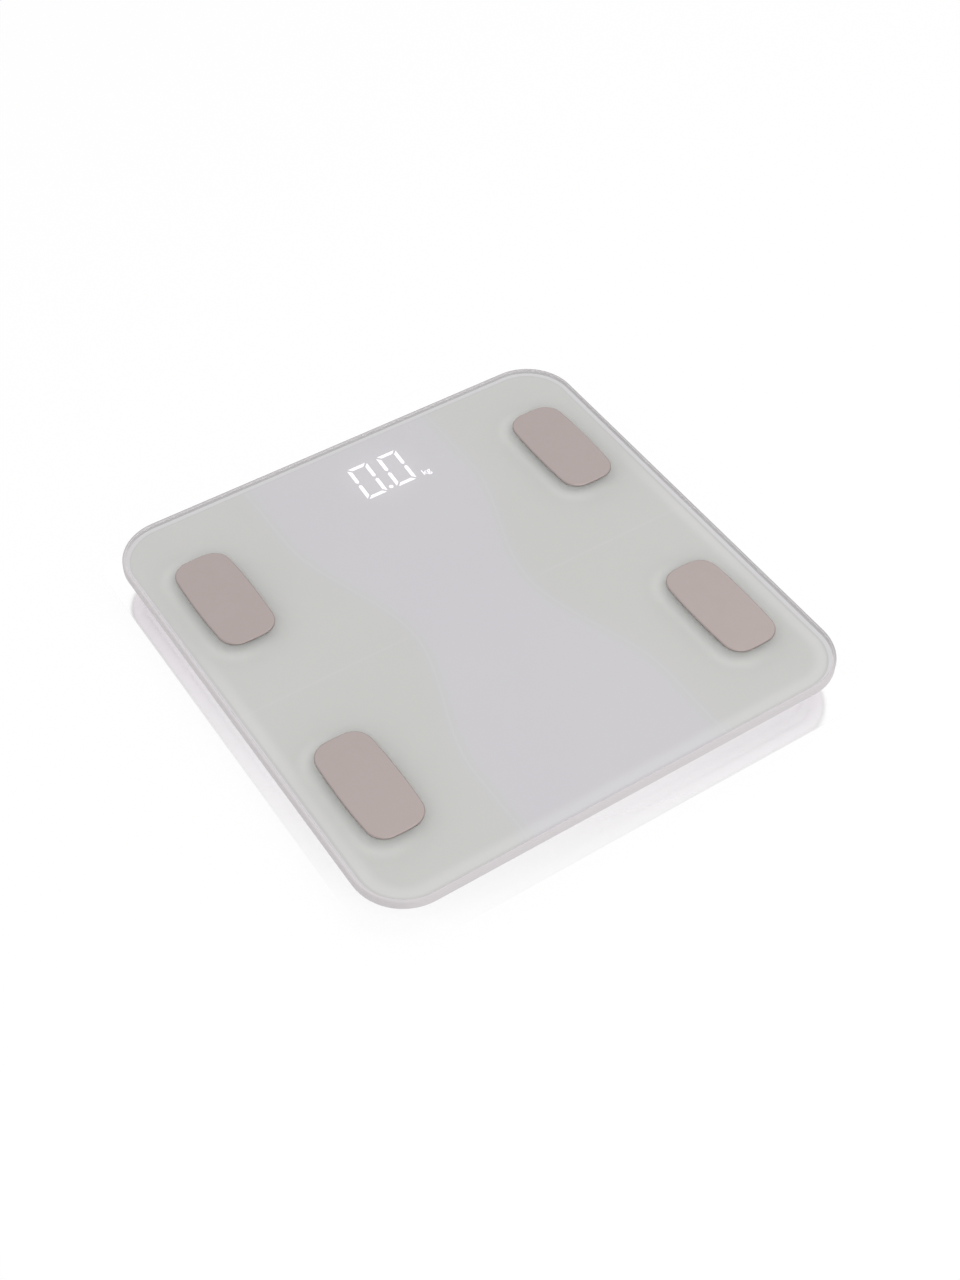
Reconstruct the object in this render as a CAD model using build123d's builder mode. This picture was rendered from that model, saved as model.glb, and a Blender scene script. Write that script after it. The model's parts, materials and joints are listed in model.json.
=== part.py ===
from build123d import *
from math import radians, tan
import os

# Digital bathroom scale: a square glass platform on a moulded tray, four sprung feet that each press
# on a load cell, a hidden LED display, four body-fat electrodes and three AAA cells behind a door.
# Millimetres. The origin is on the floor under the platform's centre, +X is to the reader's right,
# +Y points at the display edge and +Z is up.

# ---- Platform: glass, ink film and bonding tape ----
plate_side = 280.0  # square glass platform
plate_corner_r = 28.0
glass_thick = 6.0
glass_edge_r = 1.3  # ground and polished round edge, top and bottom
print_thick = 0.3  # ink film on the glass's underside
print_inset = 0.2  # bare glass left outside the ink
tape_thick = 0.7  # foam tape between tray rim and ink
tape_margin = 0.4  # rim left bare on each side of the tape

# ---- Tray moulding ----
tray_bottom = 2.2  # tray underside above the floor
tray_floor = 1.8
tray_wall = 1.8
rim_inset = 8.0  # rim edge inside the glass edge
rim_thick = 1.6
pan_inset = 11.5  # pan wall, at the rim, inside the glass edge
pan_draft = 12.0  # degrees
pan_edge_r = 3.0  # rounded lower edge of the pan
rib_thick = 1.2
rib_height = 3.4
rib_xs = (-62.0, -38.0, 38.0, 62.0)
rib_ys = (-58.0, 24.0, 58.0)
boss_r = 2.8  # screw bosses under the boards
boss_hole_gap = 0.05  # radial, between a screw and its moulded hole

# ---- Battery bay ----
cell_d = 10.5  # AAA cell
cell_length = 44.5
cell_nub_r = 1.9
cell_nub_length = 1.2
cell_edge_r = 0.5
cell_count = 3
cell_gap = 0.4  # between neighbouring cells and to the bay walls
cell_clear = 0.1  # above and below the cells
spring_room = 4.0  # negative end
plate_room = 1.6  # positive end
bay_y = -20.0  # bay centre
bay_wall = 1.5
bay_roof = 1.0
roof_gap = 0.3  # bay roof to ink film
contact_thick = 0.4
contact_width = 7.0
contact_height = 7.0
dimple_r = 1.7

# ---- Battery door ----
door_thick = 1.5
door_lap = 2.2  # door beyond the bay opening, all round
door_gap = 0.25  # running gap round the door
hinge_bead_r = 1.1  # rounded hinge edge
hinge_pin_r = 0.6
hinge_pin_length = 1.6
hinge_fit = 0.05  # radial clearance on the pins
cheek_length = 3.2  # notch at each hinge corner, along Y
cheek_width = 3.4  # and along X
cheek_gap = 0.4
frame_height = 1.6  # thickened frame round the door, above the tray floor
frame_margin = 1.6
latch_width = 16.0
latch_thick = 1.0
latch_rise = 4.0  # latch loop above the door plate
latch_span = 4.6  # loop depth, over both legs
latch_catch = 0.5  # nubs on the outer leg
latch_nub_width = 2.0
latch_room = 0.7  # pocket clearance round the loop
pocket_wall = 1.2
finger_room = 5.0  # fingertip space in front of the latch
grip_count = 4  # thumb grooves across the door's outside
grip_pitch = 2.4
grip_width = 1.1
grip_depth = 0.4
grip_length = 18.0
grip_inset = 3.0  # first groove behind the door's front edge

# ---- Feet and load cells, one set in each corner ----
foot_inset = 47.0  # foot centre from the platform's edges
foot_body_r = 16.5
foot_gap = 0.4  # radial gap in the tray's hole
flange_r = 18.0
flange_thick = 1.2
flange_clear = 0.1
foot_travel = 0.5
touch_gap = 0.1  # load button to bump at full travel
pad_r = 14.0  # rubber pad
pad_thick = 1.8
pad_seat = 0.8  # pad sunk in the foot
pad_groove_rs = (4.5, 8.0, 11.5)  # grip grooves in the pad
pad_groove_width = 1.0
pad_groove_depth = 0.5
load_button_r = 5.0
foot_wall = 1.6
foot_skin = 0.8  # cup floor above the pad
foot_webs = 6
ring_wall = 1.2
ring_height = 2.6
cell_post_height = 4.0
plate_half = 18.0  # load cell plate, half its side
plate_thick = 2.0
plate_r = 4.0
frame_arm = 5.0  # width of the plate's outer frame
tongue_width = 12.0
tongue_length = 15.0
neck_width = 8.0
neck_length = 7.0
bump_r = 3.0
bump_height = 0.9
gauge_size = (6.0, 4.5, 0.3)
support_post_r = 2.6
support_inset = 2.6  # support post centre inside the plate's edge
collar_width = 2.0  # raised ring round the foot, on the underside
collar_height = 0.7
screw_post_x = 22.2
screw_post_r = 3.0
holder_thick = 2.2
holder_lap = 3.6  # holder over the plate's frame
holder_wall = 1.2
holder_fit = 0.2

# ---- Screws ----
screw_r = 1.0
screw_head_r = 2.1
screw_head_height = 1.4
screw_length = 3.8  # shank below the piece it holds

# ---- Electrodes ----
electrode_inset_x = 34.5  # electrode centre from the platform's side edge
electrode_inset_y = 69.2  # and from its front or rear edge
electrode_width = 32.6
electrode_length = 65.2
electrode_bulge = 1.4  # how far each side bows out
electrode_corner_r = 10.5
electrode_thick = 1.0
electrode_edge_r = 0.7
bond_thick = 0.2
bond_inset = 0.8
stud_r = 1.5
stud_shift = 9.0  # stud towards the middle of the platform
stud_gap = 0.5  # radial, in glass and ink
nut_across = 5.5
nut_height = 2.4
stud_tail = 0.6  # thread below the nut
terminal_r = 3.6
terminal_thick = 0.5
terminal_tail = 7.0  # crimp end, from the stud's centre

# ---- Display ----
digit_height = 26.75
digit_width = 13.0
digit_pitch = 18.6
digit_count = 4
digit_slant = 3.4  # degrees
segment_width = 2.3
segment_gap = 0.45  # bar tip to the digit's corner
units_digit_x = 21.3  # centre of the last digit
display_inset = 30.8  # middle of the digits from the platform's rear edge
unit_room = 13.0  # housing right of the last digit, for the unit sign
unit_height = 6.0
housing_margin = 1.6
housing_height = 5.4
diffuser_thick = 0.4
gasket_width = 1.2
display_gap = 0.1  # gasket to ink film
point_r = 1.1
led_size = (1.6, 0.8, 0.6)
board_thick = 1.6
board_ear = 5.5  # display board beyond the housing, for a screw

# ---- Main board and unit switch ----
main_board_x = 64.0
main_board_y = 42.0
board_spacing = 58.2  # middle of the digits to the middle of the main board
board_lift = 5.2  # board above the tray floor
boss_inset = 3.6
switch_side = 6.0
switch_height = 3.4
plunger_r = 1.6
plunger_fit = 0.05
plunger_reach = 0.7  # plunger below the switch body
plunger_bore = 1.8  # its bore in the body
plunger_end_gap = 0.2  # left in the bore at full travel
button_shift = 5.0  # button and switch in front of the main board's middle
button_r = 3.5
button_gap = 0.3
button_flange_r = 4.8
button_flange_thick = 0.7
button_recess = 0.4
button_collar_width = 1.6  # raised ring round the button, on the underside
button_collar_height = 0.5
button_travel = 0.6
connector_height = 4.0
connector_depth = 6.0
connector_width = 8.0
connector_wall = 0.8
connector_x = 26.0  # from the board's centre
connector_y = 8.0

# ---- Leads ----
sensor_lead_d = 1.8
single_lead_d = 1.2
lead_over_ribs = 0.1
ribbon_thick = 0.3
ribbon_width = 12.0
board_lip = 5.0  # display board in front of its housing, for the ribbon
solder_gap = 0.05
tab_width = 3.0
tab_reach = 3.0  # solder tab outside the bay wall
tab_rise = 2.0  # tab above the cell's axis
tab_overlap = 0.8  # lead end over its tab
crimp_overlap = 2.0  # lead end inside its crimp
notch_run = 12.0  # straight stretch of a sensor lead from its load cell
pad_shift = 1.3  # solder pads each side of the main board's middle
peg_r = 1.0  # pegs on the tray, each side of a sensor lead
peg_gap = 0.4
peg_over = 0.6  # peg above its lead
ribbon_straight = 3.0
ribbon_rise = 1.5
ribbon_bend_r = 6.0
# where each lead is led across the tray, right-hand side: x and y as shares of a foot's offset from
# the centre, and the rise over the lead's own level
front_sensor_points = ((0.925, -0.581, 0.4), (0.763, -0.355, 0.0), (0.624, -0.075, 0.0),
                       (0.548, 0.215, 0.0), (0.473, 0.409, 2.2), (0.393, 0.462, 4.4))
rear_sensor_points = ((0.903, 0.656, 0.8), (0.742, 0.640, 0.0), (0.538, 0.661, 0.2),
                      (0.419, 0.640, 4.4))
front_electrode_points = ((0.968, -0.613, 2.75), (0.839, -0.366, 1.35), (0.731, -0.054, 0.45),
                          (0.581, 0.280, 0.35), (0.468, 0.462, 0.55), (0.376, 0.527, 0.35))
rear_electrode_points = ((0.935, 0.645, 2.35), (0.731, 0.586, 0.75), (0.527, 0.565, 0.45),
                         (0.409, 0.566, 0.25))
# the same from the battery, with x and y in millimetres
plus_points = ((35.0, -30.0, 0.55), (35.5, -19.0, -0.45), (34.0, -4.0, -1.25), (29.0, 12.0, -0.45),
               (19.0, 22.0, 0.95), (12.5, 31.0, 0.95), (11.0, 37.0, 0.0))
minus_points = ((35.0, -8.0, 0.55), (35.0, 2.0, 0.15), (28.5, 12.5, 0.35), (19.0, 22.0, 0.95),
                (12.5, 31.0, 0.95), (11.0, 37.0, 0.0))

# ---- Levels and places that follow from the sizes above ----
floor_top = tray_bottom + tray_floor
door_top = tray_bottom + door_thick
cell_axis_z = door_top + cell_clear + cell_d / 2
bay_roof_bottom = cell_axis_z + cell_d / 2 + cell_clear
bay_roof_top = bay_roof_bottom + bay_roof
tape_top = bay_roof_top + roof_gap
tray_top = tape_top - tape_thick
glass_bottom = tape_top + print_thick
glass_top = glass_bottom + glass_thick
rib_top = floor_top + rib_height
sensor_z = rib_top + lead_over_ribs + sensor_lead_d / 2
peg_top = sensor_z + sensor_lead_d / 2 + peg_over
peg_reach = sensor_lead_d / 2 + peg_gap + peg_r

half_plate = plate_side / 2
foot_offset = half_plate - foot_inset
front_peg_x = (front_sensor_points[2][0] + front_sensor_points[3][0]) / 2 * foot_offset
front_peg_y = (front_sensor_points[2][1] + front_sensor_points[3][1]) / 2 * foot_offset
rear_peg_x = (rear_sensor_points[1][0] + rear_sensor_points[2][0]) / 2 * foot_offset
rear_peg_y = (rear_sensor_points[1][1] + rear_sensor_points[2][1]) / 2 * foot_offset
electrode_x = half_plate - electrode_inset_x
electrode_y = half_plate - electrode_inset_y
display_y = half_plate - display_inset
main_board_centre_y = display_y - board_spacing
button_y = main_board_centre_y - button_shift
pan_top_half = half_plate - pan_inset
draft = tan(radians(pan_draft))
pan_bottom_half = pan_top_half - (tray_top - tray_bottom) * draft
inner_floor_half = pan_top_half - tray_wall - (tray_top - floor_top) * draft

bay_half_x = (cell_length + spring_room + plate_room) / 2
cell_pitch = cell_d + cell_gap
bay_half_y = (cell_count * cell_pitch + cell_gap) / 2
bay_cell_ys = [bay_y + (i - (cell_count - 1) / 2) * cell_pitch for i in range(cell_count)]
door_half_x = bay_half_x + door_lap
door_front = bay_y - bay_half_y - door_lap
hinge_y = bay_y + bay_half_y + door_lap
hinge_z = tray_bottom + hinge_bead_r
bead_half = door_half_x - cheek_width
frame_half_x = door_half_x + door_gap + frame_margin
frame_back = hinge_y + hinge_bead_r + door_gap + frame_margin
frame_front = door_front - door_gap - frame_margin
pocket_back = bay_y - bay_half_y - bay_wall
latch_back = pocket_back - door_gap
latch_front = latch_back - latch_span
latch_lip = latch_front - latch_catch - door_gap
pocket_half_x = latch_width / 2 + latch_room
pocket_front = latch_front - finger_room
pocket_top = door_top + latch_rise + latch_room
finger_half_x = latch_width / 2 - latch_nub_width - door_gap

plate_bottom = floor_top + cell_post_height
plate_top = plate_bottom + plate_thick
bump_bottom = plate_bottom - bump_height
button_top = bump_bottom - foot_travel - touch_gap
foot_bottom = pad_thick - pad_seat
flange_bottom = floor_top + flange_clear
holder_top = plate_top + holder_thick
neck_end = plate_half - frame_arm - neck_length
gauge_x, gauge_y, gauge_thick = gauge_size

electrode_bottom = glass_top + bond_thick
terminal_bottom = tape_top - terminal_thick
nut_bottom = terminal_bottom - nut_height
stud_bottom = nut_bottom - stud_tail
stud_y = electrode_y - stud_shift

digit_xs = [units_digit_x - i * digit_pitch for i in range(digit_count)]
slant = tan(radians(digit_slant))
slant_room = slant * digit_height / 2
housing_left = digit_xs[-1] - digit_width / 2 - slant_room - housing_margin
housing_right = units_digit_x + digit_width / 2 + unit_room
housing_x = (housing_left + housing_right) / 2
housing_length = housing_right - housing_left
housing_depth = digit_height + 2 * housing_margin
gasket_top = tape_top - display_gap
housing_top = gasket_top - diffuser_thick
display_board_top = housing_top - housing_height
display_board_bottom = display_board_top - board_thick
display_board_length = housing_length + 2 * board_ear
display_screw_places = [(housing_x + sx * (display_board_length - board_ear) / 2,
                         display_y + sy * (housing_depth / 2 - boss_inset))
                        for sx in (-1, 1) for sy in (-1, 1)]

main_board_bottom = floor_top + board_lift
main_board_top = main_board_bottom + board_thick
main_screw_places = [(sx * (main_board_x / 2 - boss_inset),
                      main_board_centre_y + sy * (main_board_y / 2 - boss_inset))
                     for sx in (-1, 1) for sy in (-1, 1)]
unit_window_x = units_digit_x + (digit_width + unit_room) / 2
unit_window_y = display_y - digit_height / 2 + unit_height
switch_bottom = main_board_bottom - switch_height
plunger_bottom = switch_bottom - plunger_reach
button_bottom = tray_bottom + button_recess
button_flange_bottom = floor_top + flange_clear

tab_z = cell_axis_z + tab_rise
output_tabs = ((1, bay_cell_ys[0]), (-1, bay_cell_ys[-1]))  # plus end of the first cell, minus of the last

CORNERS = {"front_left": (-1, -1), "front_right": (1, -1), "rear_left": (-1, 1), "rear_right": (1, 1)}


def keep(piece, name):
    """Labels a finished piece and writes it to its own STEP file."""
    piece.part.label = name
    export_step(piece.part, f"parts/{name}.step")


def foot_plane(side, z):
    """A plane at a foot's centre, turned so that its +Y points away from the platform's middle."""
    sx, sy = side
    return Plane(origin=(sx * foot_offset, sy * foot_offset, z), x_dir=(sy, 0, 0), z_dir=(0, 0, 1))


def plate_outline(inset, z):
    """The platform's rounded square, drawn smaller by inset."""
    with BuildSketch(Plane.XY.offset(z)) as outline:
        side = plate_side - 2 * inset
        RectangleRounded(side, side, plate_corner_r - inset)
    return outline.sketch


def block(half_x, front, back, z):
    """A rectangle across the platform's centre line, between two places along Y."""
    with BuildSketch(Plane((0, (front + back) / 2, z))) as outline:
        Rectangle(2 * half_x, back - front)
    return outline.sketch


def electrode_outline(side, z, inset):
    """The electrode's outline: four bowed sides with rounded corners."""
    sx, sy = side
    half_x = electrode_width / 2 - inset
    half_y = electrode_length / 2 - inset
    corner_x = half_x - electrode_bulge
    corner_y = half_y - electrode_bulge
    with BuildSketch(Plane((sx * electrode_x, sy * electrode_y, z))) as outline:
        with BuildLine():
            ThreePointArc((-corner_x, -corner_y), (0, -half_y), (corner_x, -corner_y))
            ThreePointArc((corner_x, -corner_y), (half_x, 0), (corner_x, corner_y))
            ThreePointArc((corner_x, corner_y), (0, half_y), (-corner_x, corner_y))
            ThreePointArc((-corner_x, corner_y), (-half_x, 0), (-corner_x, -corner_y))
        make_face()
        fillet(outline.vertices(), radius=electrode_corner_r - inset)
    return outline.sketch


def stud_places():
    return [(sx * electrode_x, sy * stud_y) for sx, sy in CORNERS.values()]


def digit_segments():
    """The seven bars of one digit about its centre: (centre x, centre y, length, turn in degrees)."""
    reach_x = (digit_width - segment_width) / 2
    reach_y = (digit_height - segment_width) / 2
    bars = [(y * reach_y * slant, y * reach_y, 2 * (reach_x - segment_gap), 0) for y in (-1, 0, 1)]
    return bars + [(x * reach_x + y * reach_y / 2 * slant, y * reach_y / 2, reach_y - 2 * segment_gap,
                    90 - digit_slant) for x in (-1, 1) for y in (-1, 1)]


def segment_windows(z):
    """Every digit's mitred bars, the decimal points and the unit window, as faces at height z."""
    with BuildSketch(Plane.XY.offset(z)) as windows:
        for digit_x in digit_xs:
            for x, y, length, turn in digit_segments():
                with Locations(Location((digit_x + x, display_y + y, 0), (0, 0, turn))):
                    tip, shoulder, half_width = length / 2, (length - segment_width) / 2, segment_width / 2
                    Polygon((-tip, 0), (-shoulder, -half_width), (shoulder, -half_width), (tip, 0),
                            (shoulder, half_width), (-shoulder, half_width))
        with Locations(*point_places()):
            Circle(point_r)
        with Locations((unit_window_x, unit_window_y)):
            Rectangle(unit_room - 2 * housing_margin, unit_height)
    return windows.sketch


def point_places():
    """The decimal points, at the foot of the gap right of each digit but the last."""
    low = -(digit_height / 2 - point_r)
    return [(x + digit_pitch / 2 + low * slant, display_y + low) for x in digit_xs[1:]]


def lead_part(routes, diameter):
    """Insulated leads, each along straight runs joined by tangent arcs as wide as the runs allow."""
    with BuildPart() as leads:
        for route in routes:
            points = [Vector(*point) for point in route]
            runs = [b - a for a, b in zip(points, points[1:])]
            radii = [0.45 * min(a.length, b.length) / tan(radians(a.get_angle(b)) / 2)
                     for a, b in zip(runs, runs[1:])]
            print("lead radii", [round(r, 1) for r in radii])
            with BuildLine() as path:
                FilletPolyline(*points, radius=radii)
            with BuildSketch(Plane(origin=path.line @ 0, z_dir=path.line % 0)):
                Circle(diameter / 2)
            sweep(path=path.wire())
    return leads


os.makedirs("parts", exist_ok=True)

# ======== Glass platform, ink film and tape ========

with BuildPart() as glass:
    extrude(plate_outline(0, glass_bottom), amount=glass_thick)
    fillet(glass.faces().sort_by(Axis.Z)[-1].edges() + glass.faces().sort_by(Axis.Z)[0].edges(), glass_edge_r)
    with Locations(*[(x, y, glass_top) for x, y in stud_places()]):
        Hole(stud_r + stud_gap)
keep(glass, "glass_platform")

with BuildPart() as ink:
    extrude(plate_outline(print_inset + glass_edge_r, tape_top), amount=print_thick)
    with Locations(*[(x, y, glass_bottom) for x, y in stud_places()]):
        Hole(stud_r + stud_gap)
keep(ink, "print_film")

with BuildPart() as tape:
    extrude(plate_outline(rim_inset + tape_margin, tray_top), amount=tape_thick)
    tape_inner = pan_inset + tray_wall - tape_margin
    extrude(plate_outline(tape_inner, tray_top), amount=tape_thick, mode=Mode.SUBTRACT)
keep(tape, "mounting_tape")

# ======== Tray ========


def door_outline(gap, notch_gap):
    """The door seen from below, with the two hinge corners notched out for the tray's cheeks."""
    side, neck = door_half_x + gap, bead_half + gap
    front, notch = door_front - gap, hinge_y - cheek_length + notch_gap
    with BuildSketch(Plane.XY.offset(tray_bottom)) as outline:
        with BuildLine():
            Polyline((-side, front), (side, front), (side, notch), (neck, notch), (neck, hinge_y),
                     (-neck, hinge_y), (-neck, notch), (-side, notch), close=True)
        make_face()
    return outline.sketch


def hinge_circle(half_x, radius):
    """A circle on the door's hinge axis, at one end of a stretch that is centred on the scale."""
    with BuildSketch(Plane.YZ.offset(-half_x)) as outline:
        with Locations((hinge_y, hinge_z)):
            Circle(radius)
    return outline.sketch


with BuildPart() as tray:
    # drafted pan with a flat rim for the tape
    with BuildSketch(Plane.XY.offset(tray_bottom)):
        RectangleRounded(2 * pan_bottom_half, 2 * pan_bottom_half, plate_corner_r - pan_inset)
    extrude(amount=tray_top - tray_bottom, taper=-pan_draft)
    fillet(tray.faces().sort_by(Axis.Z)[0].edges(), pan_edge_r)
    extrude(plate_outline(rim_inset, tray_top), amount=-rim_thick)
    with BuildSketch(Plane.XY.offset(floor_top)):
        RectangleRounded(2 * inner_floor_half, 2 * inner_floor_half, plate_corner_r - pan_inset)
    extrude(amount=tray_top - floor_top, taper=-pan_draft, mode=Mode.SUBTRACT)

    # stiffening ribs, wall to wall
    rib_reach = 2 * inner_floor_half + tray_wall
    with BuildSketch(Plane.XY.offset(floor_top)):
        with Locations(*[(x, 0) for x in rib_xs]):
            Rectangle(rib_thick, rib_reach)
        with Locations(*[(0, y) for y in rib_ys]):
            Rectangle(rib_reach, rib_thick)
    extrude(amount=rib_height)

    # foot pockets: a locating ring, four posts under the load cell and two screw posts
    for side in CORNERS.values():
        with BuildSketch(foot_plane(side, floor_top)):
            Circle(flange_r + foot_gap + ring_wall)
        extrude(amount=ring_height)
        with BuildSketch(foot_plane(side, floor_top)):
            with GridLocations(2 * (plate_half - support_inset), 2 * (plate_half - support_inset), 2, 2):
                Circle(support_post_r)
        extrude(amount=cell_post_height)
        with BuildSketch(foot_plane(side, floor_top)):
            with GridLocations(2 * screw_post_x, 0, 2, 1):
                Circle(screw_post_r)
        extrude(amount=plate_top - floor_top)
        with BuildSketch(foot_plane(side, floor_top)):
            Circle(flange_r + foot_gap)
        extrude(amount=plate_top - floor_top, mode=Mode.SUBTRACT)
        with BuildSketch(foot_plane(side, tray_bottom)):
            Circle(foot_body_r + foot_gap + collar_width)
        extrude(amount=-collar_height)
        with BuildSketch(foot_plane(side, floor_top)):
            Circle(foot_body_r + foot_gap)
        extrude(amount=-tray_floor - collar_height, mode=Mode.SUBTRACT)
        with BuildSketch(foot_plane(side, plate_top)):
            with GridLocations(2 * screw_post_x, 0, 2, 1):
                Circle(screw_r + boss_hole_gap)
        extrude(amount=-screw_length, mode=Mode.SUBTRACT)

    # bosses under the main board and the display board
    for places, top in ((main_screw_places, main_board_bottom), (display_screw_places, display_board_bottom)):
        with BuildSketch(Plane.XY.offset(floor_top)):
            with Locations(*places):
                Circle(boss_r)
        extrude(amount=top - floor_top)
        with BuildSketch(Plane.XY.offset(top)):
            with Locations(*places):
                Circle(screw_r + boss_hole_gap)
        extrude(amount=-screw_length, mode=Mode.SUBTRACT)

    # battery bay: a thick frame round the door, a box with a roof and a pocket over the latch
    extrude(block(frame_half_x, frame_front, frame_back, tray_bottom), amount=tray_floor + frame_height)
    bay_front, bay_back = bay_y - bay_half_y, bay_y + bay_half_y
    extrude(block(bay_half_x + bay_wall, bay_front - bay_wall, bay_back + bay_wall, floor_top),
            amount=bay_roof_top - floor_top)
    extrude(block(pocket_half_x + pocket_wall, pocket_front - pocket_wall, pocket_back, floor_top),
            amount=pocket_top + pocket_wall - floor_top)
    extrude(block(bay_half_x, bay_front, bay_back, tray_bottom), amount=bay_roof_bottom - tray_bottom,
            mode=Mode.SUBTRACT)
    extrude(door_outline(door_gap, cheek_gap), amount=door_thick + cell_clear, mode=Mode.SUBTRACT)
    extrude(block(pocket_half_x, pocket_front, pocket_back, floor_top), amount=pocket_top - floor_top,
            mode=Mode.SUBTRACT)
    extrude(block(pocket_half_x, latch_lip, pocket_back, tray_bottom), amount=tray_floor, mode=Mode.SUBTRACT)
    extrude(block(finger_half_x, pocket_front, pocket_back, tray_bottom), amount=tray_floor,
            mode=Mode.SUBTRACT)

    # hinge channel, open below, and the two pin holes in the cheeks
    channel_half, channel_r = bead_half + door_gap, hinge_bead_r + door_gap
    extrude(hinge_circle(channel_half, channel_r), amount=2 * channel_half, mode=Mode.SUBTRACT)
    extrude(block(channel_half, hinge_y - channel_r, hinge_y + channel_r, tray_bottom),
            amount=hinge_bead_r, mode=Mode.SUBTRACT)
    extrude(hinge_circle(channel_half + hinge_pin_length, hinge_pin_r + hinge_fit),
            amount=2 * (channel_half + hinge_pin_length), mode=Mode.SUBTRACT)

    # slots for the two solder tabs
    for wall, y in output_tabs:
        with BuildSketch(Plane((wall * (bay_half_x + bay_wall / 2), y, tab_z - door_gap))):
            Rectangle(bay_wall, tab_width + 2 * door_gap)
        extrude(amount=contact_thick + 2 * door_gap, mode=Mode.SUBTRACT)

    # hole for the unit button, in a raised ring
    with BuildSketch(Plane((0, button_y, tray_bottom))):
        Circle(button_r + button_gap + button_collar_width)
    extrude(amount=-button_collar_height)
    with BuildSketch(Plane((0, button_y, floor_top))):
        Circle(button_r + button_gap)
    extrude(amount=-tray_floor - button_collar_height, mode=Mode.SUBTRACT)

    # pairs of pegs that keep the sensor leads in place
    with BuildSketch(Plane.XY.offset(floor_top)):
        for side in (-1, 1):
            with Locations((side * front_peg_x, front_peg_y)):
                with GridLocations(2 * peg_reach, 0, 2, 1):
                    Circle(peg_r)
            with Locations((side * rear_peg_x, rear_peg_y)):
                with GridLocations(0, 2 * peg_reach, 1, 2):
                    Circle(peg_r)
    extrude(amount=peg_top - floor_top)
keep(tray, "base_tray")

# ======== Battery door, cells and contacts ========

with BuildPart() as door:
    extrude(door_outline(0, 0), amount=door_thick)
    extrude(hinge_circle(bead_half, hinge_bead_r), amount=2 * bead_half)
    pin_half = bead_half + hinge_pin_length
    extrude(hinge_circle(pin_half, hinge_pin_r), amount=2 * pin_half)
    with BuildSketch(Plane.XY.offset(tray_bottom)):
        with Locations(*[(0, door_front + grip_inset + i * grip_pitch) for i in range(grip_count)]):
            SlotOverall(grip_length, grip_width)
    extrude(amount=grip_depth, mode=Mode.SUBTRACT)
    # snap latch: a loop that rises from the plate's front edge and comes down to a finger tab
    loop_r = latch_span / 2
    loop_y = latch_back - loop_r
    loop_z = door_top + latch_rise - loop_r
    with BuildSketch(Plane.YZ.offset(-latch_width / 2)):
        with Locations((loop_y, loop_z)):
            Circle(loop_r)
        with Locations((loop_y, (loop_z + tray_bottom) / 2)):
            Rectangle(latch_span, loop_z - tray_bottom)
        with Locations((loop_y, loop_z)):
            Circle(loop_r - latch_thick, mode=Mode.SUBTRACT)
        with Locations((loop_y, (loop_z + tray_bottom) / 2)):
            Rectangle(latch_span - 2 * latch_thick, loop_z - tray_bottom, mode=Mode.SUBTRACT)
    extrude(amount=latch_width)
    # catch nubs at both ends of the outer leg
    nub_z = floor_top + door_gap
    for start in (-latch_width / 2, latch_width / 2 - latch_nub_width):
        with BuildSketch(Plane.YZ.offset(start)):
            with BuildLine():
                Polyline((latch_front, nub_z), (latch_front - latch_catch, nub_z),
                         (latch_front, nub_z + 2 * latch_catch), close=True)
            make_face()
        extrude(amount=latch_nub_width)
keep(door, "battery_door")

for index, y in enumerate(bay_cell_ys):
    plus = 1 if index % 2 == 0 else -1  # neighbouring cells lie head to tail
    start = -plus * (bay_half_x - spring_room)
    cell_plane = Plane(origin=(start, y, cell_axis_z), z_dir=(plus, 0, 0))
    with BuildPart() as cell:
        with BuildSketch(cell_plane):
            Circle(cell_d / 2)
        extrude(amount=cell_length - cell_nub_length)
        fillet(cell.edges().filter_by(GeomType.CIRCLE), cell_edge_r)
        with BuildSketch(cell_plane):
            Circle(cell_nub_r)
        extrude(amount=cell_length)
    keep(cell, f"battery_{index + 1}")

with BuildPart() as contacts:
    for index, y in enumerate(bay_cell_ys):
        plus = 1 if index % 2 == 0 else -1
        for wall in (-1, 1):
            base = Plane(origin=(wall * bay_half_x, y, cell_axis_z - contact_height / 2), x_dir=(-wall, 0, 0))
            with BuildSketch(base):
                with Locations((contact_thick / 2, 0)):
                    Rectangle(contact_thick, contact_width)
            extrude(amount=contact_height)
            if wall == plus:  # a pressed dimple meets the nub
                with BuildSketch(Plane(origin=(wall * bay_half_x, y, cell_axis_z), z_dir=(-wall, 0, 0))):
                    Circle(dimple_r)
                extrude(amount=plate_room - cell_clear)
            else:  # a bowed leaf presses on the flat end
                foot_y, crown = contact_width / 2, spring_room - cell_clear
                with BuildSketch(base):
                    with BuildLine():
                        ThreePointArc((contact_thick, -foot_y), (crown, 0), (contact_thick, foot_y))
                        Line((contact_thick, foot_y), (contact_thick, foot_y - contact_thick))
                        ThreePointArc((contact_thick, foot_y - contact_thick), (crown - contact_thick, 0),
                                      (contact_thick, contact_thick - foot_y))
                        Line((contact_thick, contact_thick - foot_y), (contact_thick, -foot_y))
                    make_face()
                extrude(amount=contact_height)
    # links that put the cells in series
    for first in range(cell_count - 1):
        wall = -1 if first % 2 == 0 else 1
        link_y = (bay_cell_ys[first] + bay_cell_ys[first + 1]) / 2
        link_x = wall * (bay_half_x - contact_thick / 2)
        with BuildSketch(Plane((link_x, link_y, cell_axis_z - contact_height / 2))):
            Rectangle(contact_thick, cell_pitch - contact_width)
        extrude(amount=contact_height)
    for wall, y in output_tabs:
        with BuildSketch(Plane((wall * (bay_half_x + (bay_wall + tab_reach) / 2), y, tab_z))):
            Rectangle(bay_wall + tab_reach, tab_width)
        extrude(amount=contact_thick)
keep(contacts, "battery_contacts")

# ======== Feet and load cells ========

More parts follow.
